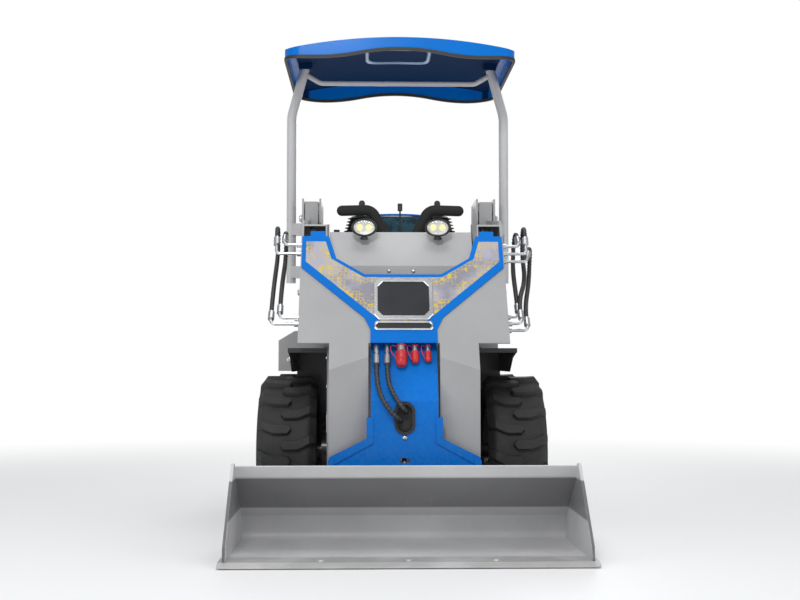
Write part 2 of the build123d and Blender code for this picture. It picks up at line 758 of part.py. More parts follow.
def arm_channel():
    """Top and inner wall of the arm, narrowing to a tongue between the upright's ears."""
    limit = arm_outer - arm_plate
    front, rear = lip_y + 500, pivot_y + 100
    plan = polygon((arm_inner, front), (limit, front), (limit, rear), (tongue_inner, rear),
                   (tongue_inner, tongue_end_y), (arm_inner, tongue_start_y))
    wall = arm_sheet
    inside = polygon((arm_inner + wall, front - 1), (limit + 1, front - 1), (limit + 1, rear + 1),
                     (tongue_inner + wall, rear + 1), (tongue_inner + wall, tongue_end_y - wall),
                     (arm_inner + wall, tongue_start_y - wall))
    tip, elbow, crest = arm_top_line(arm_top_drop + arm_top_sheet)
    ahead = (tip[0] - (elbow[0] - tip[0]) / 2, tip[1] - (elbow[1] - tip[1]) / 2)
    under = polygon(ahead, elbow, crest, (pivot_y, pivot_z), (pivot_y, arm_knee_z), (arm_knee_y, arm_bottom_z - 100),
                    (ahead[0], arm_bottom_z - 100))
    shape = side_plate(arm_outline(arm_top_drop), arm_inner, limit) & plan_prism(plan, 700, 1700)
    return shape - (side_plate(under, arm_inner, limit + 1) & plan_prism(inside, 600, 1800))


def arm():
    plate = side_plate(arm_outline(0), arm_outer - arm_plate, arm_outer)
    boss = shaft(pivot_y, pivot_z, boss_radius - arm_top_drop, tongue_inner, arm_outer)
    cap = shaft(lift_eye_y, lift_eye_z, cylinder_eye_radius, arm_outer, arm_outer + 6)
    guard = block((guard_inner, guard_outer), (guard_y, guard_y + arm_plate), (pivot_z - boss_radius, guard_top_z))
    bore = shaft(pivot_y, pivot_z, pivot_pin_radius + running_gap, tongue_inner - 1, arm_outer + 1)
    return plate + arm_channel() + boss + cap + guard - bore


def toe_limit(back):
    """What lies ahead of the leg's toed-in front face, moved back by a wall."""
    run = (leg_toe_outer_y - leg_toe_inner_y) / (leg_outer - leg_inner)
    low, high = leg_inner - 20, leg_outer + 20
    ahead = lip_y + 400
    plan = polygon((low, ahead), (high, ahead), (high, leg_toe_inner_y + run * (high - leg_inner) + back),
                   (low, leg_toe_inner_y + run * (low - leg_inner) + back))
    return plan_prism(plan, leg_open_z, leg_top_z + 100)


def leg_front(back, bottom):
    """Front line of the leg, down the boom's slope and then straight, moved back by a wall."""
    front = cover_back_y + back
    fold_z = slope_foot_z + (front - back * slope_stretch - slope_foot_y) / slope_run
    return (slope_y(leg_top_z) + back * slope_stretch, leg_top_z), (front, fold_z), (front, bottom)


def leg():
    """Channel with a toed-in front and side plates that end in the carrier's hinge eyes."""
    hinge = (hinge_y, hinge_z)
    top, fold, foot = leg_front(0, cover_bottom_z)
    knee = (lip_y + 760, 700)
    outline = polygon(top, fold, foot, tangent_to(foot, hinge, hinge_eye_radius, -1), hinge,
                      tangent_to(knee, hinge, hinge_eye_radius, 1), knee, (lip_y + 930, leg_top_z))
    outline = outline + Pos(*hinge) * Circle(hinge_eye_radius)
    shape = side_plate(outline, leg_inner, leg_outer) - toe_limit(0)
    top, fold, foot = leg_front(leg_plate, leg_open_z)
    behind = polygon((top[0] + 60, leg_top_z + 100), top, fold, foot, (lip_y + 400, leg_open_z), (lip_y + 400, 100),
                     (lip_y + 1100, 100), (lip_y + 1100, leg_top_z + 100))
    hollow = side_plate(behind, leg_inner + leg_plate, leg_outer - leg_plate) - toe_limit(leg_plate)
    bore = shaft(*hinge, hinge_pin_radius + running_gap, leg_inner - 1, leg_outer + 1)
    return shape - hollow - bore


def yoke_notch():
    """Points of the opening between the arms, from the left to the right."""
    right = [(167.5, 1132.0), (293.0, 1206.0), (327.0, yoke_top_z)]
    return [(-x, z) for x, z in reversed(right)] + right


def boom_frame():
    """Two arms, the sloping front sheet that ties them, both legs and the tilt cylinder's lugs."""
    shelf_z = arm_bottom_z + yoke_plate + front_sheet * slope_run / slope_stretch + seat_gap
    corner = [(arm_outer, yoke_top_z), (arm_outer, arm_bottom_z), (notch_half, arm_bottom_z), (notch_half, shelf_z)]
    outline = yoke_notch() + corner + [(-x, z) for x, z in reversed(corner)]
    frame = both_sides(arm() + leg()) + on_slope(outline, -front_sheet, 0)
    reach = cylinder_eye_width / 2 + side_gap
    base = [(slope_y(850), 850), (slope_y(970), 970)]
    lug = eye_outline(base, (tilt_base_y, tilt_base_z), cylinder_eye_radius)
    lugs = both_sides(side_plate(lug, reach, reach + 12))
    pin = shaft(tilt_base_y, tilt_base_z, base_pin_radius, -reach, reach)
    ahead = on_slope([(-200, 700), (200, 700), (200, 1200), (-200, 1200)], -front_sheet / 2, 200)
    return frame + (lugs - ahead) + pin


def cross_plate():
    """Blue Y-shaped plate on the front sheet, with its lower edge turned back as a shelf."""
    right = [(327.0, yoke_top_z), (345.0, yoke_top_z), (345.0, 1333.0), (409.0, 1333.0), (409.0, yoke_top_z),
             (yoke_half, yoke_top_z), (445.0, yoke_corner_z), (169.0, 940.0), (notch_half, 888.0),
             (notch_half, arm_bottom_z)]
    outline = yoke_notch()[:-1] + right + [(-x, z) for x, z in reversed(right[1:])]
    plate = on_slope(outline, 0, yoke_plate)
    start = slope_y(arm_bottom_z) - 6
    shelf = block((-notch_half, notch_half), (start, start + shelf_depth), (arm_bottom_z, arm_bottom_z + yoke_plate))
    return plate + shelf


def blank_plates():
    """Two bare plates in the middle of the cross plate."""
    emblem = [(-128, 950), (-106, 927), (106, 927), (128, 950), (128, 1092), (106, 1114), (-106, 1114), (-128, 1092)]
    bar = [(-125, 890), (-117, 883), (117, 883), (125, 890), (125, 915), (117, 922), (-117, 922), (-125, 915)]
    low, high = yoke_plate, yoke_plate + 8
    recess = [(0.82 * x, 1020 + 0.8 * (z - 1020)) for x, z in emblem]
    frame = on_slope(emblem, low, high) - on_slope(recess, low + 4, high + 1)
    return Compound(children=[frame, on_slope(bar, low, high)])


def cover_face(back):
    """Front line of the blue cover from top to bottom, moved back by a wall."""
    lean = (cover_top_y - (cover_back_y - cover_plate)) / (arm_bottom_z - cover_bend_z)
    front = cover_back_y - cover_plate + back
    bend_z = cover_bend_z + (back - back * hypot(1, lean)) / lean
    return [(front + (arm_bottom_z - bend_z) * lean, arm_bottom_z), (front, bend_z), (front, cover_bottom_z)]


def front_cover():
    """Blue centre column between the legs that flares out into a rimmed plate below."""
    front_y = cover_back_y - cover_plate
    depth = cover_web_y + cover_plate - front_y
    front = cover_face(0)
    back = [(y + depth, z) for y, z in reversed(front)]
    column = side_plate(polygon(*front, *back), -cover_half, cover_half)
    inner = cover_half - cover_plate
    face = cover_face(cover_plate)
    behind_y = lip_y + 900
    hollow = polygon(*face, (face[-1][0], cover_bottom_z - 1), (behind_y, cover_bottom_z - 1),
                     (behind_y, arm_bottom_z + 1), (face[0][0], arm_bottom_z + 1))
    column -= side_plate(hollow, -inner, inner)
    column += block((-inner, inner), (cover_web_y, cover_web_y + cover_plate), (grommet_z - 62, cover_bend_z - 5))
    right = [(158, 522), (158, 435), (310, 360), (318, 343), (318, cover_bottom_z)]
    wing = polygon(*right, *[(-x, z) for x, z in reversed(right)])
    inset = [(158 - cover_rim, 523), (158 - cover_rim, 435 - 0.7 * cover_rim), (318 - cover_rim, 343 - 0.5 * cover_rim),
             (318 - cover_rim, cover_bottom_z - 1)]
    panel = polygon(*inset, *[(-x, z) for x, z in reversed(inset)])
    plate = front_plate(wing, front_y, cover_back_y)
    rim_ring = front_plate(wing, front_y - cover_rim_rise, front_y) - front_plate(panel, front_y - 20, front_y + 1)
    oval = Pos(0, grommet_z) * Rot(0, 0, 90) * SlotOverall(grommet_height, grommet_width)
    slot = Pos(0, 345) * SlotOverall(48, 20)
    openings = front_plate(oval, front_y - 20, cover_web_y - 1) + front_plate(slot, front_y - 20, cover_back_y + 1)
    relief = block((-55, 55), (front_y - 20, cover_back_y + 60), (cover_bottom_z - 1, cover_bottom_z + 12))
    return column + plate + rim_ring - openings - relief


def hose_grommet():
    """Rubber ring round the oval hole in the front cover."""
    front = cover_back_y - cover_plate
    outside = SlotOverall(grommet_height + 2 * grommet_wall, grommet_width + 2 * grommet_wall)
    inside = SlotOverall(grommet_height - grommet_wall, grommet_width - grommet_wall)
    flange = front_plate(Pos(0, grommet_z) * Rot(0, 0, 90) * outside, front - 7, front)
    return flange - front_plate(Pos(0, grommet_z) * Rot(0, 0, 90) * inside, front - 8, front + 1)


# Hydraulic fittings on the front

front_hose_x = (-117.0, -71.0)
front_hose_offset = 19.0
fitting_length = 104.0
couplers_at = ((-12.0, 25.0), (46.0, 18.0), (101.0, 15.5))
cap_offset = 2.5
cap_start = 46.0
collar_end = 60.0


def shelf_axis(x, offset_out, along):
    """A point below the shelf, so far ahead of the cover's leaning face and so far down along it."""
    top, bend = cover_face(0)[0], cover_face(0)[1]
    down = Vector(0, bend[0] - top[0], bend[1] - top[1]).normalized()
    return Vector(x, top[0] - offset_out / abs(down.Z), top[1]) + down * along


def below_shelf(radius):
    """How far down its axis a round end of a radius clears the shelf by the seat gap."""
    top, bend = cover_face(0)[0], cover_face(0)[1]
    lean = atan2(top[0] - bend[0], top[1] - bend[1])
    return (seat_gap + radius * sin(lean)) / cos(lean)


def couplers():
    """Three quick couplers and two hose fittings that hang from the shelf."""
    pieces = []
    for x in front_hose_x:
        out = front_hose_offset
        hexagon = bar_between(shelf_axis(x, out, 12), shelf_axis(x, out, 50), nut_radius)
        neck_radius = nut_radius - 4
        neck = bar_between(shelf_axis(x, out, below_shelf(neck_radius)), shelf_axis(x, out, 70), neck_radius)
        ferrule = bar_between(shelf_axis(x, out, 62), shelf_axis(x, out, fitting_length), ferrule_radius)
        pieces.append(hexagon + neck + ferrule)
    for x, cap in couplers_at:
        out = cap + cap_offset
        start = below_shelf(0.55 * cap)
        stem = bar_between(shelf_axis(x, out, start), shelf_axis(x, out, 40), 0.55 * cap)
        start = below_shelf(0.8 * cap) + 4
        collar = bar_between(shelf_axis(x, out, start), shelf_axis(x, out, collar_end), 0.8 * cap)
        pieces.append(stem + collar)
    return Compound(children=pieces)


def coupler_caps():
    """Red caps on the couplers."""
    caps = []
    for x, cap in couplers_at:
        out = cap + cap_offset
        outside = bar_between(shelf_axis(x, out, cap_start), shelf_axis(x, out, collar_end + 2.2 * cap), cap)
        socket = bar_between(shelf_axis(x, out, cap_start - 1), shelf_axis(x, out, collar_end),
                             0.8 * cap + running_gap)
        caps.append(outside - socket)
    return Compound(children=caps)


# Hoses. A route is a list of points; its bends take what its runs allow.

def route_radii(points):
    """For each inner point, 0.45 of the shorter run divided by the tangent of half the turn."""
    radii = []
    for before, here, after in zip(points, points[1:], points[2:]):
        into, out = here - before, after - here
        half_turn = radians(into.get_angle(out)) / 2
        radii.append(0.45 * min(into.length, out.length) / tan(half_turn))
    return radii


def hose(points, name):
    """A hose along its route, checked against its section times its length."""
    radii = route_radii(points)
    path = FilletPolyline(*points, radius=radii)
    solid = sweep(Plane(origin=path @ 0, z_dir=path % 0) * Circle(hose_radius), path=path)
    expected = pi * hose_radius ** 2 * path.length
    print(name, "length", round(path.length, 1), "radii", [round(r) for r in radii],
          "volume ratio", round(solid.volume / expected, 4))
    return solid


def front_hose_routes():
    """Both routes leave a fitting along its axis and end square on the cover's web."""
    routes = {}
    for name, x, straight, between, (end_x, end_z) in (
            ("front_hose_outer", front_hose_x[0], 78, [(-98, 560, 607), (-60, 545, 548)], (-16, 508)),
            ("front_hose_inner", front_hose_x[1], 62, [(-58, 578, 640), (-30, 555, 590)], (6, 544))):
        route = [shelf_axis(x, front_hose_offset, fitting_length + run) for run in (0, straight)]
        route += [Vector(x, lip_y + b, z) for x, b, z in between]
        routes[name] = route + [Vector(end_x, y, end_z) for y in (cover_web_y - 56, cover_web_y)]
    return routes


# Each side line: side, upper elbow, points between, lower elbow and the hose's direction there.
side_lines = {
    "side_hose_left_outer": (
        -1, (569, 1046, 1243), [(571, 1126, 1366), (572, 1180, 1370), (573, 1221, 1328),
                                (574, 1203, 1238), (577, 1086, 1140)], (580, 880, 918), (0.643, 0.766)),
    "side_hose_left_inner": (
        -1, (532, 1046, 1283), [(533, 1134, 1350), (534, 1188, 1338), (536, 1212, 1288),
                                (538, 1180, 1204), (540, 1084, 1142)], (541, 884, 945), (0.643, 0.766)),
    "side_hose_right_inner": (
        1, (535, 1046, 1277), [(534, 1134, 1346), (533, 1188, 1334), (530, 1212, 1284),
                               (524, 1180, 1200), (515, 1084, 1140)], (512, 884, 950), (0.643, 0.766)),
    "side_hose_right_middle": (
        1, (570, 1046, 1243), [(571, 1126, 1366), (572, 1180, 1370), (573, 1221, 1328),
                               (572, 1203, 1238), (566, 1062, 1122)], (518, 820, 919), (0.643, 0.766)),
    "side_hose_right_outer": (
        1, (570, 1046, 1208), [(592, 1128, 1280), (604, 1172, 1264), (602, 1184, 1204),
                               (590, 1120, 1116)], (549, 850, 890), (0.66, 0.75)),
}


def line_points(name):
    """Both elbows of a side line and the hose's route between its two ferrules."""
    side, upper, between, lower, fall = side_lines[name]

    def place(point):
        return Vector(side * point[0], lip_y + point[1], point[2])

    top, bottom = place(upper), place(lower)
    inner = [place(point) for point in between]
    least = ferrule_length + 28
    reach = max(least, (inner[0] - top).length - (inner[1] - inner[0]).length)
    start = top + (inner[0] - top).normalized() * reach
    back = Vector(0, *fall).normalized()
    end = bottom + back * least
    return top, bottom, [start] + inner + [end + back * 70, end]


def hydraulic_pipes():
    """Steel pipes with nuts and ferrules that carry the side hoses on the arms."""
    pieces = []
    for name in side_lines:
        top, bottom, route = line_points(name)
        side = side_lines[name][0]
        for elbow, end in ((top, route[0]), (bottom, route[-1])):
            root = Vector(side * arm_outer, elbow.Y, elbow.Z)
            pipe = tube_along([root, elbow, end], pipe_radius, [18])
            nut = bar_between(root + Vector(side * 4, 0, 0), root + Vector(side * 26, 0, 0), nut_radius)
            along = (end - elbow).normalized()
            ferrule = bar_between(end - along * ferrule_length, end, ferrule_radius)
            pieces.append(pipe + nut + ferrule)
    return Compound(children=pieces)


# Cylinders

lift_base, lift_eye = (lift_base_y, lift_base_z), (lift_eye_y, lift_eye_z)
tilt_base, tilt_eye = (tilt_base_y, tilt_base_z), (tilt_eye_y, tilt_eye_z)


def barrel(base, eye, x, radius, rod_radius, length):
    """Cylinder barrel with an eye at its base and a bore for its rod."""
    direction = Vector(0, eye[0] - base[0], eye[1] - base[1])
    frame = Plane(origin=(x, *base), x_dir=(1, 0, 0), z_dir=direction)
    low = (Align.CENTER, Align.CENTER, Align.MIN)
    start = cylinder_eye_radius + barrel_neck
    body = frame * Pos(0, 0, start) * Cylinder(radius, length - start, align=low)
    body += frame * Pos(0, 0, base_pin_radius) * Cylinder(0.75 * radius, start - base_pin_radius, align=low)
    body += frame * Pos(0, 0, length - 34) * Cylinder(radius + 3, 26, align=low)
    half = cylinder_eye_width / 2
    body += shaft(*base, cylinder_eye_radius, x - half, x + half)
    body -= frame * Pos(0, 0, 60) * Cylinder(radius - barrel_wall, length - 94, align=low)
    body -= frame * Pos(0, 0, 60) * Cylinder(rod_radius + running_gap, length, align=low)
    return body - shaft(*base, base_pin_radius + running_gap, x - half - 1, x + half + 1)


def rod(base, eye, x, radius, start, eye_radius, stub):
    """Piston rod with an eye and a short pin that ends clear of its lugs."""
    span = Vector(0, eye[0] - base[0], eye[1] - base[1])
    frame = Plane(origin=(x, *base), x_dir=(1, 0, 0), z_dir=span)
    low = (Align.CENTER, Align.CENTER, Align.MIN)
    half = cylinder_eye_width / 2
    body = frame * Pos(0, 0, start) * Cylinder(radius, span.length - start, align=low)
    body += shaft(*eye, eye_radius, x - half, x + half)
    return body + shaft(*eye, 0.5 * eye_radius, x - stub, x + stub)


# Tool carrier and bucket

def back_point(along, out):
    """A point so far up the bucket's sloping back and so far out from it."""
    run, rise = bucket_throat_y - bucket_back_y, bucket_throat_z - bucket_back_z
    size = hypot(run, rise)
    return (bucket_back_y + (along * run + out * rise) / size, bucket_back_z + (along * rise - out * run) / size)


def carrier():
    """Plate on the bucket's back with two pairs of hinge ears and the tilt cylinder's ears."""
    hinge = (hinge_y, hinge_z)
    length = hypot(bucket_throat_y - bucket_back_y, bucket_throat_z - bucket_back_z)
    plate = polygon(back_point(14, 0), back_point(length - 14, 0), back_point(length - 14, carrier_plate),
                    back_point(14, carrier_plate))
    body = side_plate(plate, -carrier_half, carrier_half)
    inside = carrier_plate - 1
    ear = eye_outline([back_point(16, inside), back_point(170, inside)], hinge, carrier_eye_radius)
    pin = shaft(*hinge, hinge_pin_radius, leg_inner - 3, leg_outer + 2)
    pin += shaft(*hinge, hinge_pin_radius + 7, leg_outer + 2, leg_outer + 10)
    tilt_ear = eye_outline([back_point(40, inside), back_point(170, inside)], tilt_eye, tilt_eye_radius + 2)
    near = cylinder_eye_width / 2 + tilt_ear_gap
    tilt_side = side_plate(tilt_ear, near, near + 12) + shaft(*tilt_eye, 18, near + 12, near + 18)
    side = pin + tilt_side
    for low, high in carrier_ears:
        side += side_plate(ear, low, high)
    return body + both_sides(side)


def bucket_path():
    """Outer line of the bucket's shell from the cutting edge round its heel to the top flange."""
    return FilletPolyline(
        (lip_y + edge_depth, bucket_floor_z), (bucket_heel_y, bucket_floor_z), (bucket_back_y, bucket_back_z),
        (bucket_throat_y, bucket_throat_z), (bucket_flange_y, bucket_flange_z), radius=[34, 16, 10])


def bucket():
    """Folded shell with two side plates."""
    path = bucket_path()
    section = make_face(offset(path, amount=bucket_sheet, side=Side.LEFT, closed=True))
    inner = bucket_half - bucket_side_wall
    shell = side_plate(section, -inner, inner)
    top_z = bucket_flange_z + 9
    edge_top = edge_bottom_z + edge_wall
    front = Polyline((bucket_flange_y, bucket_flange_z), (bucket_flange_y - 8, top_z), (lip_y + 320, top_z),
                     (lip_y + 51, 72), (lip_y + 45, edge_top), (lip_y + edge_depth, edge_top),
                     (lip_y + edge_depth, bucket_floor_z))
    side = make_face(path + front)
    return shell + both_sides(side_plate(side, inner, bucket_half))


def cutting_edge():
    """Flat bar with a bevelled front and rounded ends, welded to the bucket's floor."""
    top = edge_bottom_z + edge_wall
    outline = polygon((lip_y, edge_bottom_z), (lip_y + edge_depth, edge_bottom_z), (lip_y + edge_depth, top),
                      (lip_y + 38, top), (lip_y, edge_bottom_z + 5))
    plan = Pos(0, lip_y + 50 + edge_depth / 2) * RectangleRounded(2 * edge_half, edge_depth + 100, 14)
    return side_plate(outline, -edge_half, edge_half) & plan_prism(plan, 0, 50)


def main():
    wheel = tyre()
    disc = rim()
    for side, word in ((-1, "left"), (1, "right")):
        for y, end in ((front_axle_y, "front"), (rear_axle_y, "rear")):
            place = Pos(side * wheel_x, y, axle_z)
            write(place * wheel, f"tyre_{end}_{word}")
            write(place * (disc if side > 0 else mirrored(disc)), f"rim_{end}_{word}")
    write(axle_housings(), "axle_housings")
    write(chassis_tub(), "chassis_tub")
    write(both_sides(fender()), "front_fenders")
    write(side_box(narrow_box_half, narrow_box_shoulder) + mirrored(side_box(box_half, box_shoulder)), "side_boxes")
    write(both_sides(upright()), "uprights")
    write(engine_block(), "engine_block")
    write(engine_cover(), "engine_cover")
    write(rear_bumper(), "rear_bumper")
    write(rear_door(), "rear_door")
    write(rear_grille(), "rear_grille")
    write(floor_plate(), "floor_plate")
    write(console(), "console")
    write(both_sides(lamp_housing() - under_console()), "lamp_housings")
    write(both_sides(lamp_lens()), "lamp_lenses")
    write(both_sides(hand_rail()), "hand_rails")
    write(control_levers(), "control_levers")
    write(both_sides(bellows()), "lever_bellows")
    write(seat_frame(), "seat_frame")
    write(seat_cushion(), "seat_cushion")
    write(backrest(), "seat_back")
    write(canopy_frame(), "canopy_frame")
    write(roof_shell(), "roof_shell")
    write(roof_trim(), "roof_trim")
    write(boom_frame(), "boom_frame")
    write(cross_plate(), "cross_plate")
    write(blank_plates(), "blank_plates")
    write(front_cover(), "front_cover")
    write(hose_grommet(), "hose_grommet")
    write(couplers(), "couplers")
    write(coupler_caps(), "coupler_caps")
    write(hydraulic_pipes(), "hydraulic_pipes")
    for name, route in front_hose_routes().items():
        write(hose(route, name), name)
    for name in side_lines:
        write(hose(line_points(name)[2], name), name)
    right_barrel = barrel(lift_base, lift_eye, lift_x, lift_barrel_radius, lift_rod_radius, lift_barrel_length)
    right_rod = rod(lift_base, lift_eye, lift_x, lift_rod_radius, lift_rod_start, 28, 41.5)
    write(mirrored(right_barrel), "lift_barrel_left")
    write(right_barrel, "lift_barrel_right")
    write(mirrored(right_rod), "lift_rod_left")
    write(right_rod, "lift_rod_right")
    write(barrel(tilt_base, tilt_eye, 0, tilt_barrel_radius, tilt_rod_radius, tilt_barrel_length), "tilt_barrel")
    write(rod(tilt_base, tilt_eye, 0, tilt_rod_radius, tilt_rod_start, tilt_eye_radius, 33), "tilt_rod")
    write(carrier(), "tool_carrier")
    write(bucket(), "bucket_shell")
    write(cutting_edge(), "cutting_edge")


main()
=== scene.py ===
import bmesh
import bpy
import numpy as np
from math import pi, sin, cos, radians, hypot
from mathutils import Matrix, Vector


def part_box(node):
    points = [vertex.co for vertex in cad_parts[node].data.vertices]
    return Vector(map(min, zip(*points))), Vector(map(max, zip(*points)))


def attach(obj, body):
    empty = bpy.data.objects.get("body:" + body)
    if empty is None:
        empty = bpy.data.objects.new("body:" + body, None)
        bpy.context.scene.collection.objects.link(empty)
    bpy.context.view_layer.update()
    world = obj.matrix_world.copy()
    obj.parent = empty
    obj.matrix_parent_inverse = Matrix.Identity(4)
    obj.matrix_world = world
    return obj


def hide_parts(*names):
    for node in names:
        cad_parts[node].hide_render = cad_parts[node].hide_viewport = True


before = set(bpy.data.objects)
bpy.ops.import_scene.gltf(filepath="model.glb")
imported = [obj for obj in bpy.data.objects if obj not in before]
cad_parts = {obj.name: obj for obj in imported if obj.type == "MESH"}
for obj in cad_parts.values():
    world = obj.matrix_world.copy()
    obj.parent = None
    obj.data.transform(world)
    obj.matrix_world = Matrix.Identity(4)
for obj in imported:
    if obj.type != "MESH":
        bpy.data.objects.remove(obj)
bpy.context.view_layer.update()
print("frame loaded")

lipY = -1.310                    # every depth below is counted back from the bucket's lip
side = {"left": -1, "right": 1}


# Camera, light and floor

view = {"place": (-0.151, -5.71, 0.76), "pitch": 2.86, "yaw": -1.51, "lens": 54.0, "sensor": 36.0}
lights = {
    "key": {"place": (-0.8, -5.0, 4.3), "size": 1.4, "watts": 125.0},
    "fillLeft": {"place": (-4.4, -4.2, 1.8), "size": 3.0, "watts": 45.0},
    "fillRight": {"place": (4.4, -4.0, 1.8), "size": 3.0, "watts": 45.0},
    "top": {"place": (0.0, 0.4, 5.2), "size": 3.6, "watts": 95.0},
    "back": {"place": (0.6, 5.2, 3.6), "size": 3.0, "watts": 90.0},
}


def makeCamera():
    data = bpy.data.cameras.new("photoCamera")
    data.lens = view["lens"]
    data.sensor_width = view["sensor"]
    camera = bpy.data.objects.new("photoCamera", data)
    camera.location = view["place"]
    camera.rotation_euler = (radians(90 + view["pitch"]), 0, radians(view["yaw"]))
    bpy.context.collection.objects.link(camera)
    bpy.context.scene.camera = camera


def makeLights():
    for name, light in lights.items():
        data = bpy.data.lights.new(name, "AREA")
        data.size = light["size"]
        data.energy = light["watts"]
        lamp = bpy.data.objects.new(name, data)
        lamp.location = light["place"]
        aim = Vector((0, 0, 1.0)) - Vector(light["place"])
        lamp.rotation_euler = aim.to_track_quat("-Z", "Y").to_euler()
        bpy.context.collection.objects.link(lamp)


# Materials. A Wire is one value of a node tree and takes plain arithmetic.

class Wire:
    def __init__(self, paint, socket):
        self.paint = paint
        self.socket = socket

    def __add__(self, other):
        return self.paint.maths("ADD", self, other)

    def __radd__(self, other):
        return self.paint.maths("ADD", other, self)

    def __sub__(self, other):
        return self.paint.maths("SUBTRACT", self, other)

    def __rsub__(self, other):
        return self.paint.maths("SUBTRACT", other, self)

    def __mul__(self, other):
        return self.paint.maths("MULTIPLY", self, other)

    def __rmul__(self, other):
        return self.paint.maths("MULTIPLY", other, self)

    def __gt__(self, other):
        return self.paint.maths("GREATER_THAN", self, other)

    def __abs__(self):
        return self.paint.maths("ABSOLUTE", self)


class Paint:
    def __init__(self, name, **sockets):
        self.material = bpy.data.materials.new(name)
        self.material.use_nodes = True
        self.tree = self.material.node_tree
        self.tree.nodes.clear()
        self.shader = self.tree.nodes.new("ShaderNodeBsdfPrincipled")
        self.output = self.tree.nodes.new("ShaderNodeOutputMaterial")
        self.tree.links.new(self.shader.outputs[0], self.output.inputs[0])
        for key, value in sockets.items():
            self.set(key.replace("_", " "), value)

    def feed(self, socket, value):
        if isinstance(value, Wire):
            self.tree.links.new(value.socket, socket)
        elif isinstance(value, tuple) and socket.type == "RGBA":
            socket.default_value = value + (1.0,) * (4 - len(value))
        else:
            socket.default_value = value

    def set(self, key, value):
        self.feed(self.shader.inputs[key], value)

    def node(self, kind, settings, inputs, output=0):
        made = self.tree.nodes.new(kind)
        for key, value in settings.items():
            if key == "stops":
                ramp = made.color_ramp
                ramp.elements[0].position, ramp.elements[0].color = value[0]
                ramp.elements[1].position, ramp.elements[1].color = value[-1]
                for place, colour in value[1:-1]:
                    ramp.elements.new(place).color = colour
            else:
                setattr(made, key, value)
        for key, value in inputs.items():
            self.feed(made.inputs[key], value)
        return Wire(self, made.outputs[output])

    def maths(self, operation, *values):
        return self.node("ShaderNodeMath", {"operation": operation}, dict(enumerate(values)))

    def place(self):
        return self.node("ShaderNodeTexCoord", {}, {}, "Object")

    def axes(self):
        split = self.node("ShaderNodeSeparateXYZ", {}, {0: self.place()})
        return [Wire(self, split.socket.node.outputs[k]) for k in range(3)]

    def noise(self, scale, detail=2.0, rough=0.5, vector=None):
        return self.node("ShaderNodeTexNoise", {}, {
            "Vector": vector or self.place(), "Scale": scale, "Detail": detail, "Roughness": rough})

    def stretched(self, x, y, z):
        return self.node("ShaderNodeMapping", {}, {"Vector": self.place(), "Scale": (x, y, z)})

    def step(self, value, low, high):
        return self.node("ShaderNodeMapRange", {"interpolation_type": "SMOOTHSTEP"}, {
            "Value": value, "From Min": low, "From Max": high})

    def mix(self, factor, first, second):
        return self.node("ShaderNodeMix", {"data_type": "RGBA"}, {0: factor, 6: first, 7: second}, 2)

    def bump(self, height, distance, strength=1.0):
        self.set("Normal", self.node("ShaderNodeBump", {}, {
            "Height": height, "Distance": distance, "Strength": strength}))


roof = {"crown": 2.335, "fall": 0.060, "half": 0.547, "middle": 1760.0, "radius": 2.992, "rim": 0.035}
blue = (0.001, 0.150, 0.560)
grey = (0.385, 0.385, 0.39)


def scaled(colour, factor):
    return tuple(min(1.0, part * factor) for part in colour)


def sprayPaint(name, colour, rough=0.38, coat=0.25, peel=0.00012, dust=0.5, shine=0.5):
    # Sprayed metal: faint clouds of tone, orange peel, and dust that settles towards the ground.
    paint = Paint(name, Metallic=0.0, Coat_Roughness=0.12, Specular_IOR_Level=shine)
    clouds = paint.noise(2.6, 4.0, 0.6)
    fine = paint.noise(60.0, 3.0, 0.6)
    base = paint.mix(paint.step(clouds, 0.3, 0.75), scaled(colour, 0.94), scaled(colour, 1.05))
    height = paint.axes()[2]
    low = (1 - paint.step(height, 0.1, 0.9)) * paint.step(fine, 0.4, 0.75) * dust * 0.35
    paint.set("Base Color", paint.mix(low, base, (0.30, 0.28, 0.25)))
    paint.set("Roughness", rough + 0.1 * paint.step(fine, 0.35, 0.8) + 0.2 * low)
    paint.set("Coat Weight", coat)
    paint.bump(paint.noise(420.0, 1.0), peel, 0.6)
    return paint.material


def bucketPaint():
    # The upper back and the side plates are darkened to a painted shade while the floor and the lower back
    # stay light; scrape lines run front to back and bare steel shows through low down.
    paint = Paint("bucketPaint", Coat_Roughness=0.2)
    x, _, z = paint.axes()
    colour, foldHeight, flangeHeight, sideInner = (0.56, 0.56, 0.57), 0.150, 0.290, 0.675
    belowFlange = 1 - paint.step(z, flangeHeight, flangeHeight + 0.006)
    upper = paint.step(z, foldHeight, foldHeight + 0.010) * belowFlange
    shadedFlank = (abs(x) > sideInner) * belowFlange
    # painted shade: the upper back and the side plates are mixed towards near black (0.03, 0.03, 0.031)
    dark = paint.maths("MAXIMUM", 0.66 * upper, 0.80 * shadedFlank)
    scrape = paint.noise(5.0, 6.0, 0.7, paint.stretched(14.0, 0.8, 3.0))
    blotch = paint.noise(3.0, 4.0, 0.6)
    base = paint.mix(paint.step(blotch, 0.3, 0.75), scaled(colour, 0.92), scaled(colour, 1.06))
    base = paint.mix(dark, base, (0.03, 0.03, 0.031))
    worn = paint.step(scrape, 0.56, 0.72) * (1 - paint.step(z, 0.03, 0.30)) * 0.6
    paint.set("Base Color", paint.mix(worn, base, (0.52, 0.51, 0.50)))
    paint.set("Metallic", 0.85 * worn)
    paint.set("Roughness", 0.42 - 0.12 * worn + 0.1 * scrape)
    paint.set("Coat Weight", 0.15 * (1 - worn))
    paint.bump(scrape + paint.noise(300.0, 1.0) * 0.3, 0.00025, 0.5)
    return paint.material


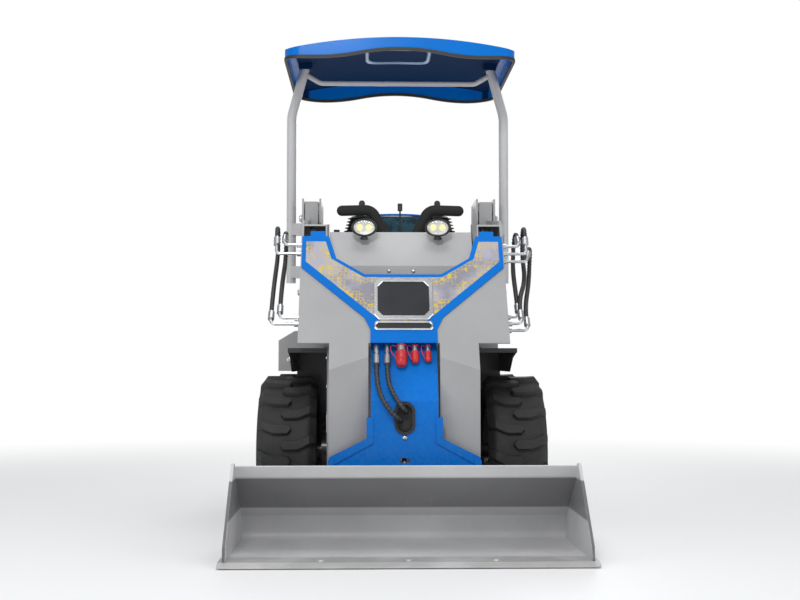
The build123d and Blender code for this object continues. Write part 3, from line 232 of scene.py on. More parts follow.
def roofPaint():
    # Glossy blue outside, and on the ceiling the blue darkened to a painted shade: inside the rim, and no
    # higher than crown - fall (x / half)^2 - (y - middle)^2 / (2 radius).
    paint = Paint("roofBlue", Coat_Roughness=0.12, Specular_IOR_Level=0.12)
    x, y, z = paint.axes()
    run = y - (lipY + roof["middle"] / 1000)
    sideways = roof["fall"] / roof["half"] ** 2 * (x * x)
    lengthways = (run * run) * (0.5 / roof["radius"])
    low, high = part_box("roof_shell")
    ends = paint.maths("MINIMUM", y - (low[1] + roof["rim"]), (high[1] - roof["rim"]) - y)
    rim = paint.maths("MINIMUM", high[0] - roof["rim"] - abs(x), ends)
    under = (roof["crown"] - sideways - lengthways + 0.003 > z) * paint.step(rim, 0.0, 0.01)
    clouds = paint.noise(2.6, 4.0, 0.6)
    outside = paint.mix(paint.step(clouds, 0.3, 0.75), scaled(blue, 0.90), scaled(blue, 1.0))
    # painted shade: the ceiling takes the blue at 0.14 of its strength
    paint.set("Base Color", paint.mix(under, outside, scaled(blue, 0.14)))
    paint.set("Roughness", 0.20 + 0.60 * under + 0.05 * clouds)
    paint.set("Coat Weight", 0.08 * (1 - under))
    paint.bump(paint.noise(420.0, 1.0), 0.00004, 0.6)
    return paint.material


def bareSteel(name, colour, rough, along=(1.0, 30.0, 30.0), metal=1.0):
    # Plated or ground steel with fine lines along one axis.
    paint = Paint(name)
    lines = paint.noise(9.0, 5.0, 0.65, paint.stretched(*along))
    cloud = paint.noise(6.0, 3.0)
    base = paint.mix(paint.step(cloud, 0.3, 0.7), scaled(colour, 0.85), scaled(colour, 1.1))
    paint.set("Base Color", base)
    paint.set("Metallic", metal)
    paint.set("Roughness", rough + 0.14 * lines)
    paint.bump(lines, 0.00006, 0.5)
    return paint.material


def moulded(name, colour, rough, grain, depth, coat=0.0):
    # Plastic or rubber with a moulded grain.
    paint = Paint(name)
    cells = paint.node("ShaderNodeTexVoronoi", {"feature": "SMOOTH_F1"}, {
        "Vector": paint.place(), "Scale": grain})
    cloud = paint.noise(7.0, 4.0, 0.6)
    base = paint.mix(paint.step(cloud, 0.3, 0.75), scaled(colour, 0.8), scaled(colour, 1.25))
    paint.set("Base Color", base)
    paint.set("Roughness", rough + 0.1 * cloud)
    paint.set("Coat Weight", coat)
    paint.bump(cells, depth, 0.7)
    return paint.material


def tyreRubber():
    # Matt rubber, greyer with dust between the lugs and on the shoulders.
    paint = Paint("tyreRubber", Specular_IOR_Level=0.35)
    cloud = paint.noise(11.0, 5.0, 0.65)
    fine = paint.noise(150.0, 2.0)
    dust = paint.step(cloud, 0.48, 0.72) * 0.35
    paint.set("Base Color", paint.mix(dust, (0.029, 0.029, 0.030), (0.070, 0.068, 0.064)))
    paint.set("Roughness", 0.62 + 0.2 * dust + 0.08 * fine)
    paint.bump(fine, 0.0003, 0.5)
    return paint.material


decal = {"outer": 0.018, "top": 0.022, "lower": 0.034, "side": 0.020, "notch": 0.010, "foot": 0.905,
         "cells": 60.0, "field": (0.26, 0.255, 0.30), "yellow": (0.62, 0.47, 0.07)}
plateEdges = {"half": 0.446, "top": 1.310, "lower": (0.445, 1.164), "notchTop": 0.327,
              "notchFoot": (0.293, 1.206), "notchBottom": 1.132}


def crossPlatePaint():
    # Blue with a field inside its border. Each distance is |x| or z against one edge of the plate, square to
    # the edge, less the border's width there.
    paint = Paint("crossPlatePaint", Coat_Roughness=0.10, Specular_IOR_Level=0.12)
    x, _, z = paint.axes()
    x = abs(x)
    edge = plateEdges
    outer = paint.maths("MINIMUM", edge["half"] - decal["outer"] - x, z - decal["foot"])
    top = edge["top"] - decal["top"] - z
    lower = 0.776 * (z - edge["lower"][1]) - 0.630 * (x - edge["lower"][0]) - decal["lower"]
    notchSide = 0.951 * (x - edge["notchTop"]) - 0.311 * (z - edge["top"]) - decal["side"]
    notchSlant = 0.508 * (x - edge["notchFoot"][0]) - 0.861 * (z - edge["notchFoot"][1]) - decal["notch"]
    notch = paint.maths("MAXIMUM", paint.maths("MAXIMUM", notchSide, notchSlant),
                        edge["notchBottom"] - decal["notch"] - z)
    inside = paint.maths("MINIMUM", paint.maths("MINIMUM", outer, top), paint.maths("MINIMUM", lower, notch))
    field = paint.step(inside, 0.0, 0.0012)
    flat = paint.node("ShaderNodeMapping", {}, {"Vector": paint.place(), "Scale": (1.0, 0.0, 1.16)})
    edges = paint.node("ShaderNodeTexVoronoi", {"feature": "DISTANCE_TO_EDGE"}, {
        "Vector": flat, "Scale": decal["cells"], "Randomness": 0.55})
    shade = paint.node("ShaderNodeTexVoronoi", {"feature": "F1"}, {
        "Vector": flat, "Scale": decal["cells"], "Randomness": 0.55}, "Color")
    pick = paint.node("ShaderNodeSeparateXYZ", {}, {0: shade})
    cloud = paint.noise(11.0, 3.0, 0.6, flat)
    near = 1 - paint.step(inside, 0.0, 0.055)
    line = (1 - paint.step(edges, 0.035, 0.085)) * paint.step(cloud + 0.12 * near, 0.49, 0.57)
    filled = (pick > 0.84) * paint.step(cloud + 0.10 * near, 0.60, 0.66)
    yellow = paint.maths("MAXIMUM", line, filled * 0.85)
    ground = paint.mix(paint.step(paint.noise(7.0, 3.0, 0.5, flat), 0.4, 0.6), decal["field"],
                       scaled(decal["field"], 1.5))
    border = paint.mix(paint.step(paint.noise(2.6, 4.0), 0.3, 0.75), scaled(blue, 0.94), scaled(blue, 1.06))
    paint.set("Base Color", paint.mix(field, border, paint.mix(yellow, ground, decal["yellow"])))
    paint.set("Roughness", 0.30 + 0.12 * field)
    paint.set("Coat Weight", 0.08 + 0.05 * field)
    paint.bump(paint.noise(420.0, 1.0), 0.0001, 0.5)
    return paint.material


def seatCloth():
    # Woven cloth in dark teal with pale flecks; warp and weft are crossed sines.
    paint = Paint("seatCloth", Sheen_Weight=0.35, Sheen_Roughness=0.5)
    x, y, z = paint.axes()
    weave = paint.maths("SINE", x * 2600.0) * paint.maths("SINE", (y + z) * 2600.0)
    fleck = paint.noise(90.0, 3.0, 0.7)
    cloud = paint.noise(22.0, 3.0, 0.6)
    base = paint.mix(paint.step(cloud, 0.42, 0.6), (0.008, 0.03, 0.045), (0.02, 0.085, 0.12))
    paint.set("Base Color", paint.mix(paint.step(fleck, 0.62, 0.72) * 0.7, base, (0.16, 0.24, 0.27)))
    paint.set("Roughness", 0.85 + 0.1 * fleck)
    paint.bump(weave * 0.5 + fleck, 0.0004, 0.6)
    return paint.material


def lampGlass():
    # Clear lens with upright flutes.
    paint = Paint("lampGlass", IOR=1.45, Transmission_Weight=0.85)
    flute = paint.maths("SINE", paint.axes()[0] * 900.0)
    paint.set("Base Color", (0.95, 0.96, 0.95))
    paint.set("Roughness", 0.05 + 0.04 * abs(flute))
    paint.bump(flute, 0.0005, 0.4)
    return paint.material


def emitterGlow():
    paint = Paint("emitterGlow", Emission_Strength=0.6)
    cloud = paint.noise(140.0, 2.0)
    paint.set("Base Color", paint.mix(cloud, (0.75, 0.66, 0.25), (0.9, 0.85, 0.5)))
    paint.set("Emission Color", paint.mix(cloud, (0.75, 0.62, 0.18), (0.9, 0.82, 0.4)))
    paint.set("Roughness", 0.3 + 0.1 * cloud)
    return paint.material


def hoseSleeve():
    # Black rubber under a spiral sleeve; the ribs are in the mesh, the grain is here.
    paint = Paint("hoseSleeve", Specular_IOR_Level=0.6)
    grain = paint.noise(240.0, 2.0, 0.6)
    paint.set("Base Color", paint.mix(grain, (0.010, 0.010, 0.011), (0.035, 0.035, 0.037)))
    paint.set("Roughness", 0.32 + 0.22 * grain)
    paint.bump(grain, 0.0002, 0.5)
    return paint.material


def foamSleeve():
    # Closed-cell foam: small round pits.
    paint = Paint("foamSleeve", Specular_IOR_Level=0.3)
    pits = paint.node("ShaderNodeTexVoronoi", {"feature": "F1"}, {"Vector": paint.place(), "Scale": 520.0})
    paint.set("Base Color", paint.mix(pits, (0.012, 0.012, 0.012), (0.03, 0.03, 0.03)))
    paint.set("Roughness", 0.75 + 0.15 * pits)
    paint.bump(pits, 0.0006, 0.6)
    return paint.material


paints = {
    "greyPaint": sprayPaint("greyPaint", grey, 0.42, 0.2),
    # painted shade: the grey paint made 0.89 times as light for the boom frame
    "boomGreyPaintedShade": sprayPaint("boomGreyPaintedShade", scaled(grey, 0.89), 0.42, 0.2),
    # painted light: the grey paint made 1.27 times lighter for the console and the canopy frame
    "greyPaintedLight": sprayPaint("greyPaintedLight", scaled(grey, 1.27), 0.34, 0.3, dust=0.2),
    "framePaint": sprayPaint("framePaint", scaled(grey, 0.92), 0.40, 0.25, dust=1.0),
    "bluePaint": sprayPaint("bluePaint", blue, 0.26, 0.08, 0.00009, 0.2, 0.12),
    "roofBlue": roofPaint(),
    "mirror": bareSteel("lampMirror", (0.85, 0.86, 0.88), 0.25, (60.0, 60.0, 60.0), 0.6),
    "hatch": moulded("roofHatch", (0.30, 0.42, 0.62), 0.18, 90.0, 0.00005, 0.4),
    "blackPaint": sprayPaint("blackPaint", (0.018, 0.018, 0.019), 0.36, 0.3, 0.00014, 0.5),
    "engineIron": bareSteel("engineIron", (0.05, 0.05, 0.05), 0.6, (8.0, 8.0, 8.0), 0.4),
    "bucketPaint": bucketPaint(),
    "crossPlatePaint": crossPlatePaint(),
    "chrome": bareSteel("chromeRod", (0.80, 0.80, 0.82), 0.08),
    "zinc": bareSteel("zincPlate", (0.62, 0.63, 0.65), 0.22, (40.0, 40.0, 40.0)),
    "silver": bareSteel("silverPlate", (0.72, 0.73, 0.75), 0.20, (2.0, 40.0, 40.0)),
    "darkBrushed": bareSteel("darkBrushed", (0.035, 0.036, 0.040), 0.34, (2.0, 60.0, 60.0), 0.7),
    "edgeSteel": bareSteel("edgeSteel", (0.52, 0.515, 0.51), 0.34, (1.5, 20.0, 20.0), 0.35),
    "tyre": tyreRubber(),
    "rubber": moulded("blackRubber", (0.016, 0.016, 0.016), 0.5, 260.0, 0.0003),
    "plastic": moulded("blackPlastic", (0.015, 0.015, 0.016), 0.42, 600.0, 0.00012, 0.1),
    "redRubber": moulded("redRubber", (0.55, 0.012, 0.014), 0.38, 300.0, 0.0001, 0.25),
    "hose": hoseSleeve(),
    "foam": foamSleeve(),
    "cloth": seatCloth(),
    "lens": lampGlass(),
    "glow": emitterGlow(),
}
print("materials made")


def dress(name, nodes):
    for node in nodes.split():
        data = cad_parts[node].data
        data.materials.clear()
        data.materials.append(paints[name])


dress("greyPaint", "side_boxes uprights engine_cover rear_door")
dress("boomGreyPaintedShade", "boom_frame")
dress("greyPaintedLight", "console canopy_frame")
dress("framePaint", "chassis_tub rim_front_left rim_front_right rim_rear_left rim_rear_right tool_carrier")
dress("bluePaint", "front_cover")
dress("roofBlue", "roof_shell")
dress("crossPlatePaint", "cross_plate")
dress("blackPaint", "axle_housings front_fenders rear_bumper rear_grille floor_plate seat_frame "
      "lift_barrel_left lift_barrel_right tilt_barrel")
dress("engineIron", "engine_block")
dress("plastic", "lamp_housings control_levers")
dress("rubber", "lever_bellows roof_trim hose_grommet")
dress("foam", "hand_rails")
dress("chrome", "lift_rod_left lift_rod_right tilt_rod")
dress("zinc", "couplers hydraulic_pipes blank_plates")
dress("redRubber", "coupler_caps")
dress("lens", "lamp_lenses")
dress("bucketPaint", "bucket_shell")
dress("edgeSteel", "cutting_edge")
dress("cloth", "seat_cushion seat_back")
print("frame dressed")


# Mesh making. Points come as numpy arrays.

def piece(name, points, faces, paint, body, smooth=40.0, slot=None, replaces=()):
    mesh = bpy.data.meshes.new(name)
    faces = faces.tolist() if isinstance(faces, np.ndarray) else faces
    mesh.from_pydata(np.asarray(points, dtype=float).reshape(-1, 3).tolist(), [], faces)
    mesh.materials.append(paints[paint])
    mesh.polygons.foreach_set("use_smooth", np.ones(len(mesh.polygons), dtype=bool))
    mesh.set_sharp_from_angle(angle=radians(smooth))
    mesh.update()
    made = bpy.data.objects.new(name, mesh)
    bpy.context.collection.objects.link(made)
    if body:
        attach(made, body)
    if replaces:
        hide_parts(*replaces)
    return made


def gridFaces(rows, columns, closeRows=False, closeColumns=False, start=0):
    # Quads between neighbouring points of a rows x columns grid, counter-clockwise seen from outside.
    r = np.arange(rows if closeRows else rows - 1)
    c = np.arange(columns if closeColumns else columns - 1)
    r, c = np.meshgrid(r, c, indexing="ij")
    up, across = (r + 1) % rows, (c + 1) % columns
    quads = np.stack([r * columns + c, r * columns + across, up * columns + across, up * columns + c],
                     axis=-1)
    return quads.reshape(-1, 4) + start


def capped(rows, segments):
    # Quads between closed rings, with the first and the last ring filled.
    last = (rows - 1) * segments
    faces = gridFaces(rows, segments, closeColumns=True).tolist()
    return faces + [list(range(segments))[::-1], [last + k for k in range(segments)]]


def joined(parts):
    # Several (points, faces) become one.
    points, faces, start = [], [], 0
    for somePoints, someFaces in parts:
        somePoints = np.asarray(somePoints, dtype=float).reshape(-1, 3)
        points.append(somePoints)
        faces.extend([[int(i) + start for i in face] for face in someFaces])
        start += len(somePoints)
    return np.concatenate(points), faces


def lathe(profile, base, axis, segments=24, turn=0.0):
    # A profile of (along, radius) pairs turned about an axis from a base point. Ends at radius 0 are closed.
    axis = np.array(axis, dtype=float) / np.linalg.norm(axis)
    helper = np.array([1.0, 0, 0]) if abs(axis[0]) < 0.9 else np.array([0, 1.0, 0])
    first = np.cross(axis, helper)
    first /= np.linalg.norm(first)
    second = np.cross(axis, first)
    profile = np.array(profile, dtype=float)
    angle = turn + np.arange(segments) * 2 * pi / segments
    ring = np.cos(angle)[:, None] * first + np.sin(angle)[:, None] * second
    points = np.array(base) + profile[:, 0, None, None] * axis + profile[:, 1, None, None] * ring[None]
    return points.reshape(-1, 3), capped(len(profile), segments)


def hexHead(base, axis, across, tall, washer=True):
    # A hexagon head with a chamfered top, on a thin washer.
    r = across / 2
    parts = [lathe([(0.0, r), (tall * 0.8, r), (tall, r * 0.86)], base, axis, 6)]
    if washer:
        washerProfile = [(0.0, r * 1.35), (tall * 0.18, r * 1.35), (tall * 0.22, r * 1.28)]
        parts.append(lathe(washerProfile, base, axis, 20))
    return joined(parts)


def domeHead(base, axis, radius, tall):
    # A round head: radius times the cosine and height times the sine of the same angle.
    angle = np.linspace(0, pi / 2, 6)
    return lathe(list(zip(tall * np.sin(angle), radius * np.cos(angle) + 1e-5)), base, axis, 18)


def splinePoints(route, order=3):
    # Points of the NURBS line through a route, as Blender evaluates it.
    data = bpy.data.curves.new("route", "CURVE")
    data.dimensions = "3D"
    data.resolution_u = 24
    line = data.splines.new("NURBS")
    line.points.add(len(route) - 1)
    for point, place in zip(line.points, route):
        point.co = (*place, 1.0)
    line.order_u = order
    line.use_endpoint_u = True
    holder = bpy.data.objects.new("route", data)
    mesh = bpy.data.meshes.new_from_object(holder)
    points = np.array([v.co[:] for v in mesh.vertices])
    bpy.data.objects.remove(holder)
    bpy.data.curves.remove(data)
    bpy.data.meshes.remove(mesh)
    return points


def evenly(points, gap):
    # The same line with points at equal steps along it.
    step = np.linalg.norm(np.diff(points, axis=0), axis=1)
    along = np.concatenate([[0], np.cumsum(step)])
    count = max(2, int(round(along[-1] / gap)) + 1)
    where = np.linspace(0, along[-1], count)
    return np.stack([np.interp(where, along, points[:, k]) for k in range(3)], axis=1), where


def frames(line):
    # Two directions square to the line, carried along it without twist.
    tangent = np.gradient(line, axis=0)
    tangent /= np.linalg.norm(tangent, axis=1)[:, None]
    first = np.zeros_like(line)
    helper = [1.0, 0, 0] if abs(tangent[0][0]) < 0.9 else [0, 1.0, 0]
    start = np.cross(tangent[0], helper)
    first[0] = start / np.linalg.norm(start)
    for k in range(1, len(line)):
        moved = first[k - 1] - tangent[k] * np.dot(first[k - 1], tangent[k])
        first[k] = moved / np.linalg.norm(moved)
    return first, np.cross(tangent, first)


def tube(line, radius, segments=16):
    # Rings of a radius, which may change along the line and around it, at each point of the line.
    first, second = frames(line)
    angle = np.arange(segments) * 2 * pi / segments
    ring = np.cos(angle)[None, :, None] * first[:, None] + np.sin(angle)[None, :, None] * second[:, None]
    radius = np.broadcast_to(np.asarray(radius, dtype=float), (len(line), segments))
    points = line[:, None] + radius[:, :, None] * ring
    return points.reshape(-1, 3), capped(len(line), segments)


# Hoses. Routes are the source's, in millimetres from the lip.

hoseLook = {"radius": 0.0094, "rib": 0.0016, "pitch": 0.016, "gap": 0.0018, "segments": 16}


def backFrom(x, b, z):
    return np.array([x / 1000, lipY + b / 1000, z / 1000])


coverTop, coverBend = (725.0, 832.0), (580.0, 590.0)    # depth and height of the cover's leaning face
leanLength = hypot(coverTop[0] - coverBend[0], coverTop[1] - coverBend[1])
leanDown = np.array([0, (coverBend[0] - coverTop[0]) / leanLength, (coverBend[1] - coverTop[1]) / leanLength])


def shelfAxis(x, out, along):
    # A point so far ahead of the leaning face and so far down along it from the shelf.
    top = backFrom(x, coverTop[0] - out / abs(leanDown[2]), coverTop[1])
    return top + leanDown * along / 1000


frontRoutes = {
    "front_hose_outer": (-117.0, 78, [(-98, 560, 607), (-60, 545, 548)], (-16, 508)),
    "front_hose_inner": (-71.0, 62, [(-58, 578, 640), (-30, 555, 590)], (6, 544)),
}
sideRoutes = {
    "side_hose_left_outer": (-1, (569, 1046, 1243), [(571, 1126, 1366), (572, 1180, 1370), (573, 1221, 1328),
                             (574, 1203, 1238), (577, 1086, 1140)], (580, 880, 918), (0.643, 0.766)),
    "side_hose_left_inner": (-1, (532, 1046, 1283), [(533, 1134, 1350), (534, 1188, 1338), (536, 1212, 1288),
                             (538, 1180, 1204), (540, 1084, 1142)], (541, 884, 945), (0.643, 0.766)),
    "side_hose_right_inner": (1, (535, 1046, 1277), [(534, 1134, 1346), (533, 1188, 1334), (530, 1212, 1284),
                              (524, 1180, 1200), (515, 1084, 1140)], (512, 884, 950), (0.643, 0.766)),
    "side_hose_right_middle": (1, (570, 1046, 1243), [(571, 1126, 1366), (572, 1180, 1370), (573, 1221, 1328),
                               (572, 1203, 1238), (566, 1062, 1122)], (518, 820, 919), (0.643, 0.766)),
    "side_hose_right_outer": (1, (570, 1046, 1208), [(592, 1128, 1280), (604, 1172, 1264), (602, 1184, 1204),
                              (590, 1120, 1116)], (549, 850, 890), (0.66, 0.75)),
}


def unit(vector):
    return vector / np.linalg.norm(vector)


def frontRoute(x, straight, between, end):
    route = [shelfAxis(x, 19.0, 104.0 + run) for run in (0, straight)]
    route += [backFrom(*point) for point in between]
    return route + [backFrom(end[0], b, end[1]) for b in (552, 608)]


def sideRoute(hand, upper, between, lower, fall):
    place = [backFrom(hand * x, b, z) for x, b, z in (upper, *between, lower)]
    top, inner, bottom = place[0], place[1:-1], place[-1]
    reach = max(0.070, np.linalg.norm(inner[0] - top) - np.linalg.norm(inner[1] - inner[0]))
    back = unit(np.array([0, *fall]))
    end = bottom + back * 0.070
    return [top + unit(inner[0] - top) * reach] + inner + [end + back * 0.070, end]


def makeHoses():
    routes = {name: frontRoute(*facts) for name, facts in frontRoutes.items()}
    routes.update({name: sideRoute(*facts) for name, facts in sideRoutes.items()})
    for name, route in routes.items():
        line, along = evenly(splinePoints(route), hoseLook["gap"])
        angle = np.arange(hoseLook["segments"]) * 2 * pi / hoseLook["segments"]
        wave = np.cos(angle[None] - 2 * pi * along[:, None] / hoseLook["pitch"])
        radius = hoseLook["radius"] + hoseLook["rib"] * np.clip(wave, -0.2, 1)
        points, faces = tube(line, radius, hoseLook["segments"])
        words = name.split("_")
        title = words[0] + "".join(word.capitalize() for word in words[1:])
        made = piece(title, points, faces, "hose", "boom", 60.0, "black_rubber", (name,))
        print(title, "length", round(float(along[-1]), 3))


makeCamera()
makeLights()
makeHoses()
print("camera, lights and hoses made")


# Tyres and wheels

tyreShape = {"radius": 0.343, "lugs": 30, "phase": 0.65, "segments": 150}
wheels = {f"{end}_{word}": (side[word] * 0.5135, lipY + b / 1000)
          for word in side for end, b in (("front", 1203.0), ("rear", 2023.0))}


def carcassProfile():
    # (across, radius) from the outer bead round the tread to the inner bead; two raised rings on each wall.
    half = [(0.1175, 0.1906), (0.1185, 0.200), (0.1215, 0.212), (0.1262, 0.226), (0.1276, 0.2275),
            (0.1276, 0.231), (0.1275, 0.2325), (0.1300, 0.252), (0.1309, 0.270), (0.1302, 0.2745),
            (0.1312, 0.276), (0.1312, 0.279), (0.1285, 0.2805), (0.121, 0.292), (0.110, 0.308),
            (0.1015, 0.3165), (0.094, 0.319)]
    tread = [(a, 0.319 + 0.0014 * (1 - (a / 0.094) ** 2)) for a in np.linspace(0.08, -0.08, 7)]
    return half + tread + [(-a, r) for a, r in reversed(half)]


def lugGrid():
    # One right-hand lug as a grid: stations (across, middle, half width) along it, and eight points across
    # each from foot to foot.
    stations = [(-0.024, 0.0, 0.004), (-0.020, 0.0, 0.004), (-0.0085, 0.0, 0.0195), (0.012, 0.0, 0.0200),
                (0.034, 0.0, 0.0200), (0.054, 0.0010, 0.0200), (0.074, 0.0085, 0.0192),
                (0.092, 0.0175, 0.0186), (0.104, 0.0235, 0.0182), (0.116, 0.0288, 0.0180),
                (0.1275, 0.0330, 0.0178), (0.1310, 0.0350, 0.0178)]
    across = np.array([s[0] for s in stations])
    middle = np.array([s[1] for s in stations])
    half = np.array([s[2] for s in stations])
    crest = tyreShape["radius"] - 0.0002 - np.clip(across - 0.104, 0, None) * 1.3
    foot = np.interp(across, [0.0, 0.094, 0.110, 0.121, 0.1285], [0.3175, 0.3165, 0.305, 0.289, 0.276])
    crest[0], crest[-1] = foot[0], foot[-1] - 0.004
    spread = np.array([-1.22, -1.04, -0.93, -0.4, 0.4, 0.93, 1.04, 1.22])
    rise = np.array([0.0, 0.90, 1.0, 1.0, 1.0, 1.0, 0.90, 0.0])
    radius = foot[:, None] + (crest - foot)[:, None] * rise
    around = middle[:, None] + half[:, None] * spread
    return np.broadcast_to(across[:, None], radius.shape), radius, around / tyreShape["radius"]


def makeTyres():
    across, radius = np.array(carcassProfile()).T
    angle = np.arange(tyreShape["segments"]) * 2 * pi / tyreShape["segments"]
    ring = np.stack([-np.cos(angle), np.sin(angle)], axis=1)
    carcass = np.concatenate([np.broadcast_to(across[:, None, None], (len(across), len(angle), 1)),
                              radius[:, None, None] * ring[None]], axis=2)
    carcassFaces = gridFaces(len(across), len(angle), closeRows=True, closeColumns=True)
    lugAcross, lugRadius, lugTurn = lugGrid()
    lugPoints, lugFaces = [], []
    for k in range(tyreShape["lugs"]):
        hand = -1 if k % 2 else 1
        turn = (k + tyreShape["phase"]) * 2 * pi / tyreShape["lugs"] + lugTurn
        points = np.stack([hand * lugAcross, -lugRadius * np.cos(turn), lugRadius * np.sin(turn)], axis=-1)
        quads = gridFaces(*lugRadius.shape)
        lugPoints.append(points.reshape(-1, 3))
        lugFaces.append(quads if hand < 0 else quads[:, ::-1])
    parts = [(carcass, carcassFaces)] + list(zip(lugPoints, lugFaces))
    points, faces = joined(parts)
    for name, (x, y) in wheels.items():
        end, word = name.split("_")
        piece(f"{end}{word.capitalize()}Tyre", points + [x, y, tyreShape["radius"]], faces, "tyre",
              f"wheel_{name}", 35.0, "tyre_rubber", (f"tyre_{name}",))


nutRing = {"count": 6, "radius": 0.082, "across": 0.024, "tall": 0.014, "seat": 0.012}
hubCap = {"seat": 0.016, "profile": [(0.0, 0.050), (0.012, 0.050), (0.020, 0.046), (0.030, 0.036),
                                     (0.034, 0.020), (0.035, 0.002)]}
stud = [(0.0, 0.006), (0.024, 0.006), (0.026, 0.005)]


def makeWheelNuts():
    # Six wheel nuts on studs round a domed hub cap, on each wheel's outer side.
    for name, (x, y) in wheels.items():
        hand = np.sign(x)
        axis = (hand, 0, 0)
        centre = np.array([x, y, tyreShape["radius"]])
        parts = [lathe(hubCap["profile"], centre + [hand * hubCap["seat"], 0, 0], axis, 40)]
        for k in range(nutRing["count"]):
            turn = (k + 0.5) * 2 * pi / nutRing["count"]
            reach = nutRing["radius"]
            spot = centre + [hand * nutRing["seat"], reach * cos(turn), reach * sin(turn)]
            parts.append(hexHead(spot, axis, nutRing["across"], nutRing["tall"]))
            parts.append(lathe(stud, spot, axis, 12))
        points, faces = joined(parts)
        end, word = name.split("_")
        piece(f"{end}{word.capitalize()}WheelNuts", points, faces, "zinc", f"wheel_{name}", 35.0,
              "zinc_steel")


makeTyres()
makeWheelNuts()
print("tyres and wheel nuts made")


# Plates on the cross plate. The boom's face leans back by 0.593 for each unit of height.

slope = {"foot": 0.661, "height": 0.815, "run": 0.593}
slopeStretch = hypot(1, slope["run"])
slopeNormal = np.array([0, -1 / slopeStretch, slope["run"] / slopeStretch])


def onSlope(x, z, out):
    # Points at x and z on the boom's face, moved out along its normal.
    x, z, out = np.broadcast_arrays(np.asarray(x, float), np.asarray(z, float), np.asarray(out, float))
    flat = np.stack([x, lipY + slope["foot"] + slope["run"] * (z - slope["height"]), z], axis=-1)
    return flat + out[..., None] * slopeNormal


emblem = {"half": 0.128, "low": 0.927, "high": 1.114, "cut": 0.022, "out": 0.006, "thick": 0.008}
nameBar = {"half": 0.125, "low": 0.883, "high": 0.922, "cut": 0.008, "out": 0.006, "thick": 0.007}


def plateOutline(facts, inset):
    # The corners of a plate with cut corners, moved in by an inset.
    half, low, high = facts["half"] - inset, facts["low"] + inset, facts["high"] - inset
    cut = facts["cut"]
    corners = [(-half, low + cut), (-half + cut, low), (half - cut, low), (half, low + cut),
               (half, high - cut), (half - cut, high), (-half + cut, high), (-half, high - cut)]
    return np.array(corners)


def framedPlate(facts, rim):
    # A frame of rings from its foot over a bevelled rim down to its floor; each ring is the outline moved in.
    out, top = facts["out"], facts["out"] + facts["thick"]
    steps = [(0.0, out), (0.0, top - 0.003), (0.0025, top), (rim, top), (rim + 0.003, top - 0.004)]
    rings = [onSlope(*plateOutline(facts, inset).T, height) for inset, height in steps]
    points = np.stack(rings)
    return points.reshape(-1, 3), gridFaces(len(steps), 8, closeColumns=True)


def plateFloor(facts, inset, height):
    # A flat floor whose rim runs under the frame.
    ring = onSlope(*plateOutline(facts, inset).T, height)
    back = onSlope(*plateOutline(facts, inset).T, facts["out"])
    points = np.concatenate([ring, back])
    faces = [list(range(8))] + [[(k + 1) % 8, k, 8 + k, 8 + (k + 1) % 8] for k in range(8)]
    return points, faces


def makePlates():
    parts = [framedPlate(emblem, 0.016), framedPlate(nameBar, 0.005)]
    piece("plateFrames", *joined(parts), "silver", "boom", 25.0, "zinc_steel", ("blank_plates",))
    parts = [plateFloor(facts, inset, facts["out"] + high)
             for facts, inset, high in ((emblem, 0.010, 0.005), (nameBar, 0.003, 0.0035))]
    piece("plateFloors", *joined(parts), "darkBrushed", "boom", 25.0, "zinc_steel")


makePlates()
print("plates made")


# Lamps

# Profiles are (depth behind the lamp's front, share of the oval); the emitters' are (height, radius).
lamp = {"x": 0.171, "b": 1140.0, "z": 1.374, "wide": 0.061, "tall": 0.042,
        "bowl": [(0.040, 0.60), (0.038, 0.66), (0.032, 0.78), (0.026, 0.93), (0.020, 1.0), (0.003, 1.0),
                 (0.0, 0.96), (0.0, 0.88), (0.003, 0.84), (0.0068, 0.815), (0.0068, 0.05)],
        "mirror": [(0.0068, 0.81), (0.0062, 0.80), (0.0062, 0.05)],
        "foot": [(0.0, 0.006), (0.0, 0.016), (0.012, 0.016), (0.016, 0.008)],
        "emitter": [(0.0, 0.0165), (0.0003, 0.0165), (0.0006, 0.012), (0.0007, 0.0)],
        "emitterApart": 0.021, "finApart": 0.014, "boltApart": 0.016}


def ovalLathe(profile, centre, wide, tall, segments=48):
    # A profile of (along, share of the oval) pairs carried round an oval that faces the front.
    angle = np.arange(segments) * 2 * pi / segments
    profile = np.array(profile)
    x = centre[0] + profile[:, 1, None] * wide * np.cos(angle)
    z = centre[2] + profile[:, 1, None] * tall * np.sin(angle)
    y = np.broadcast_to(centre[1] + profile[:, 0, None], x.shape)
    return np.stack([x, y, z], axis=-1).reshape(-1, 3), capped(len(profile), segments)


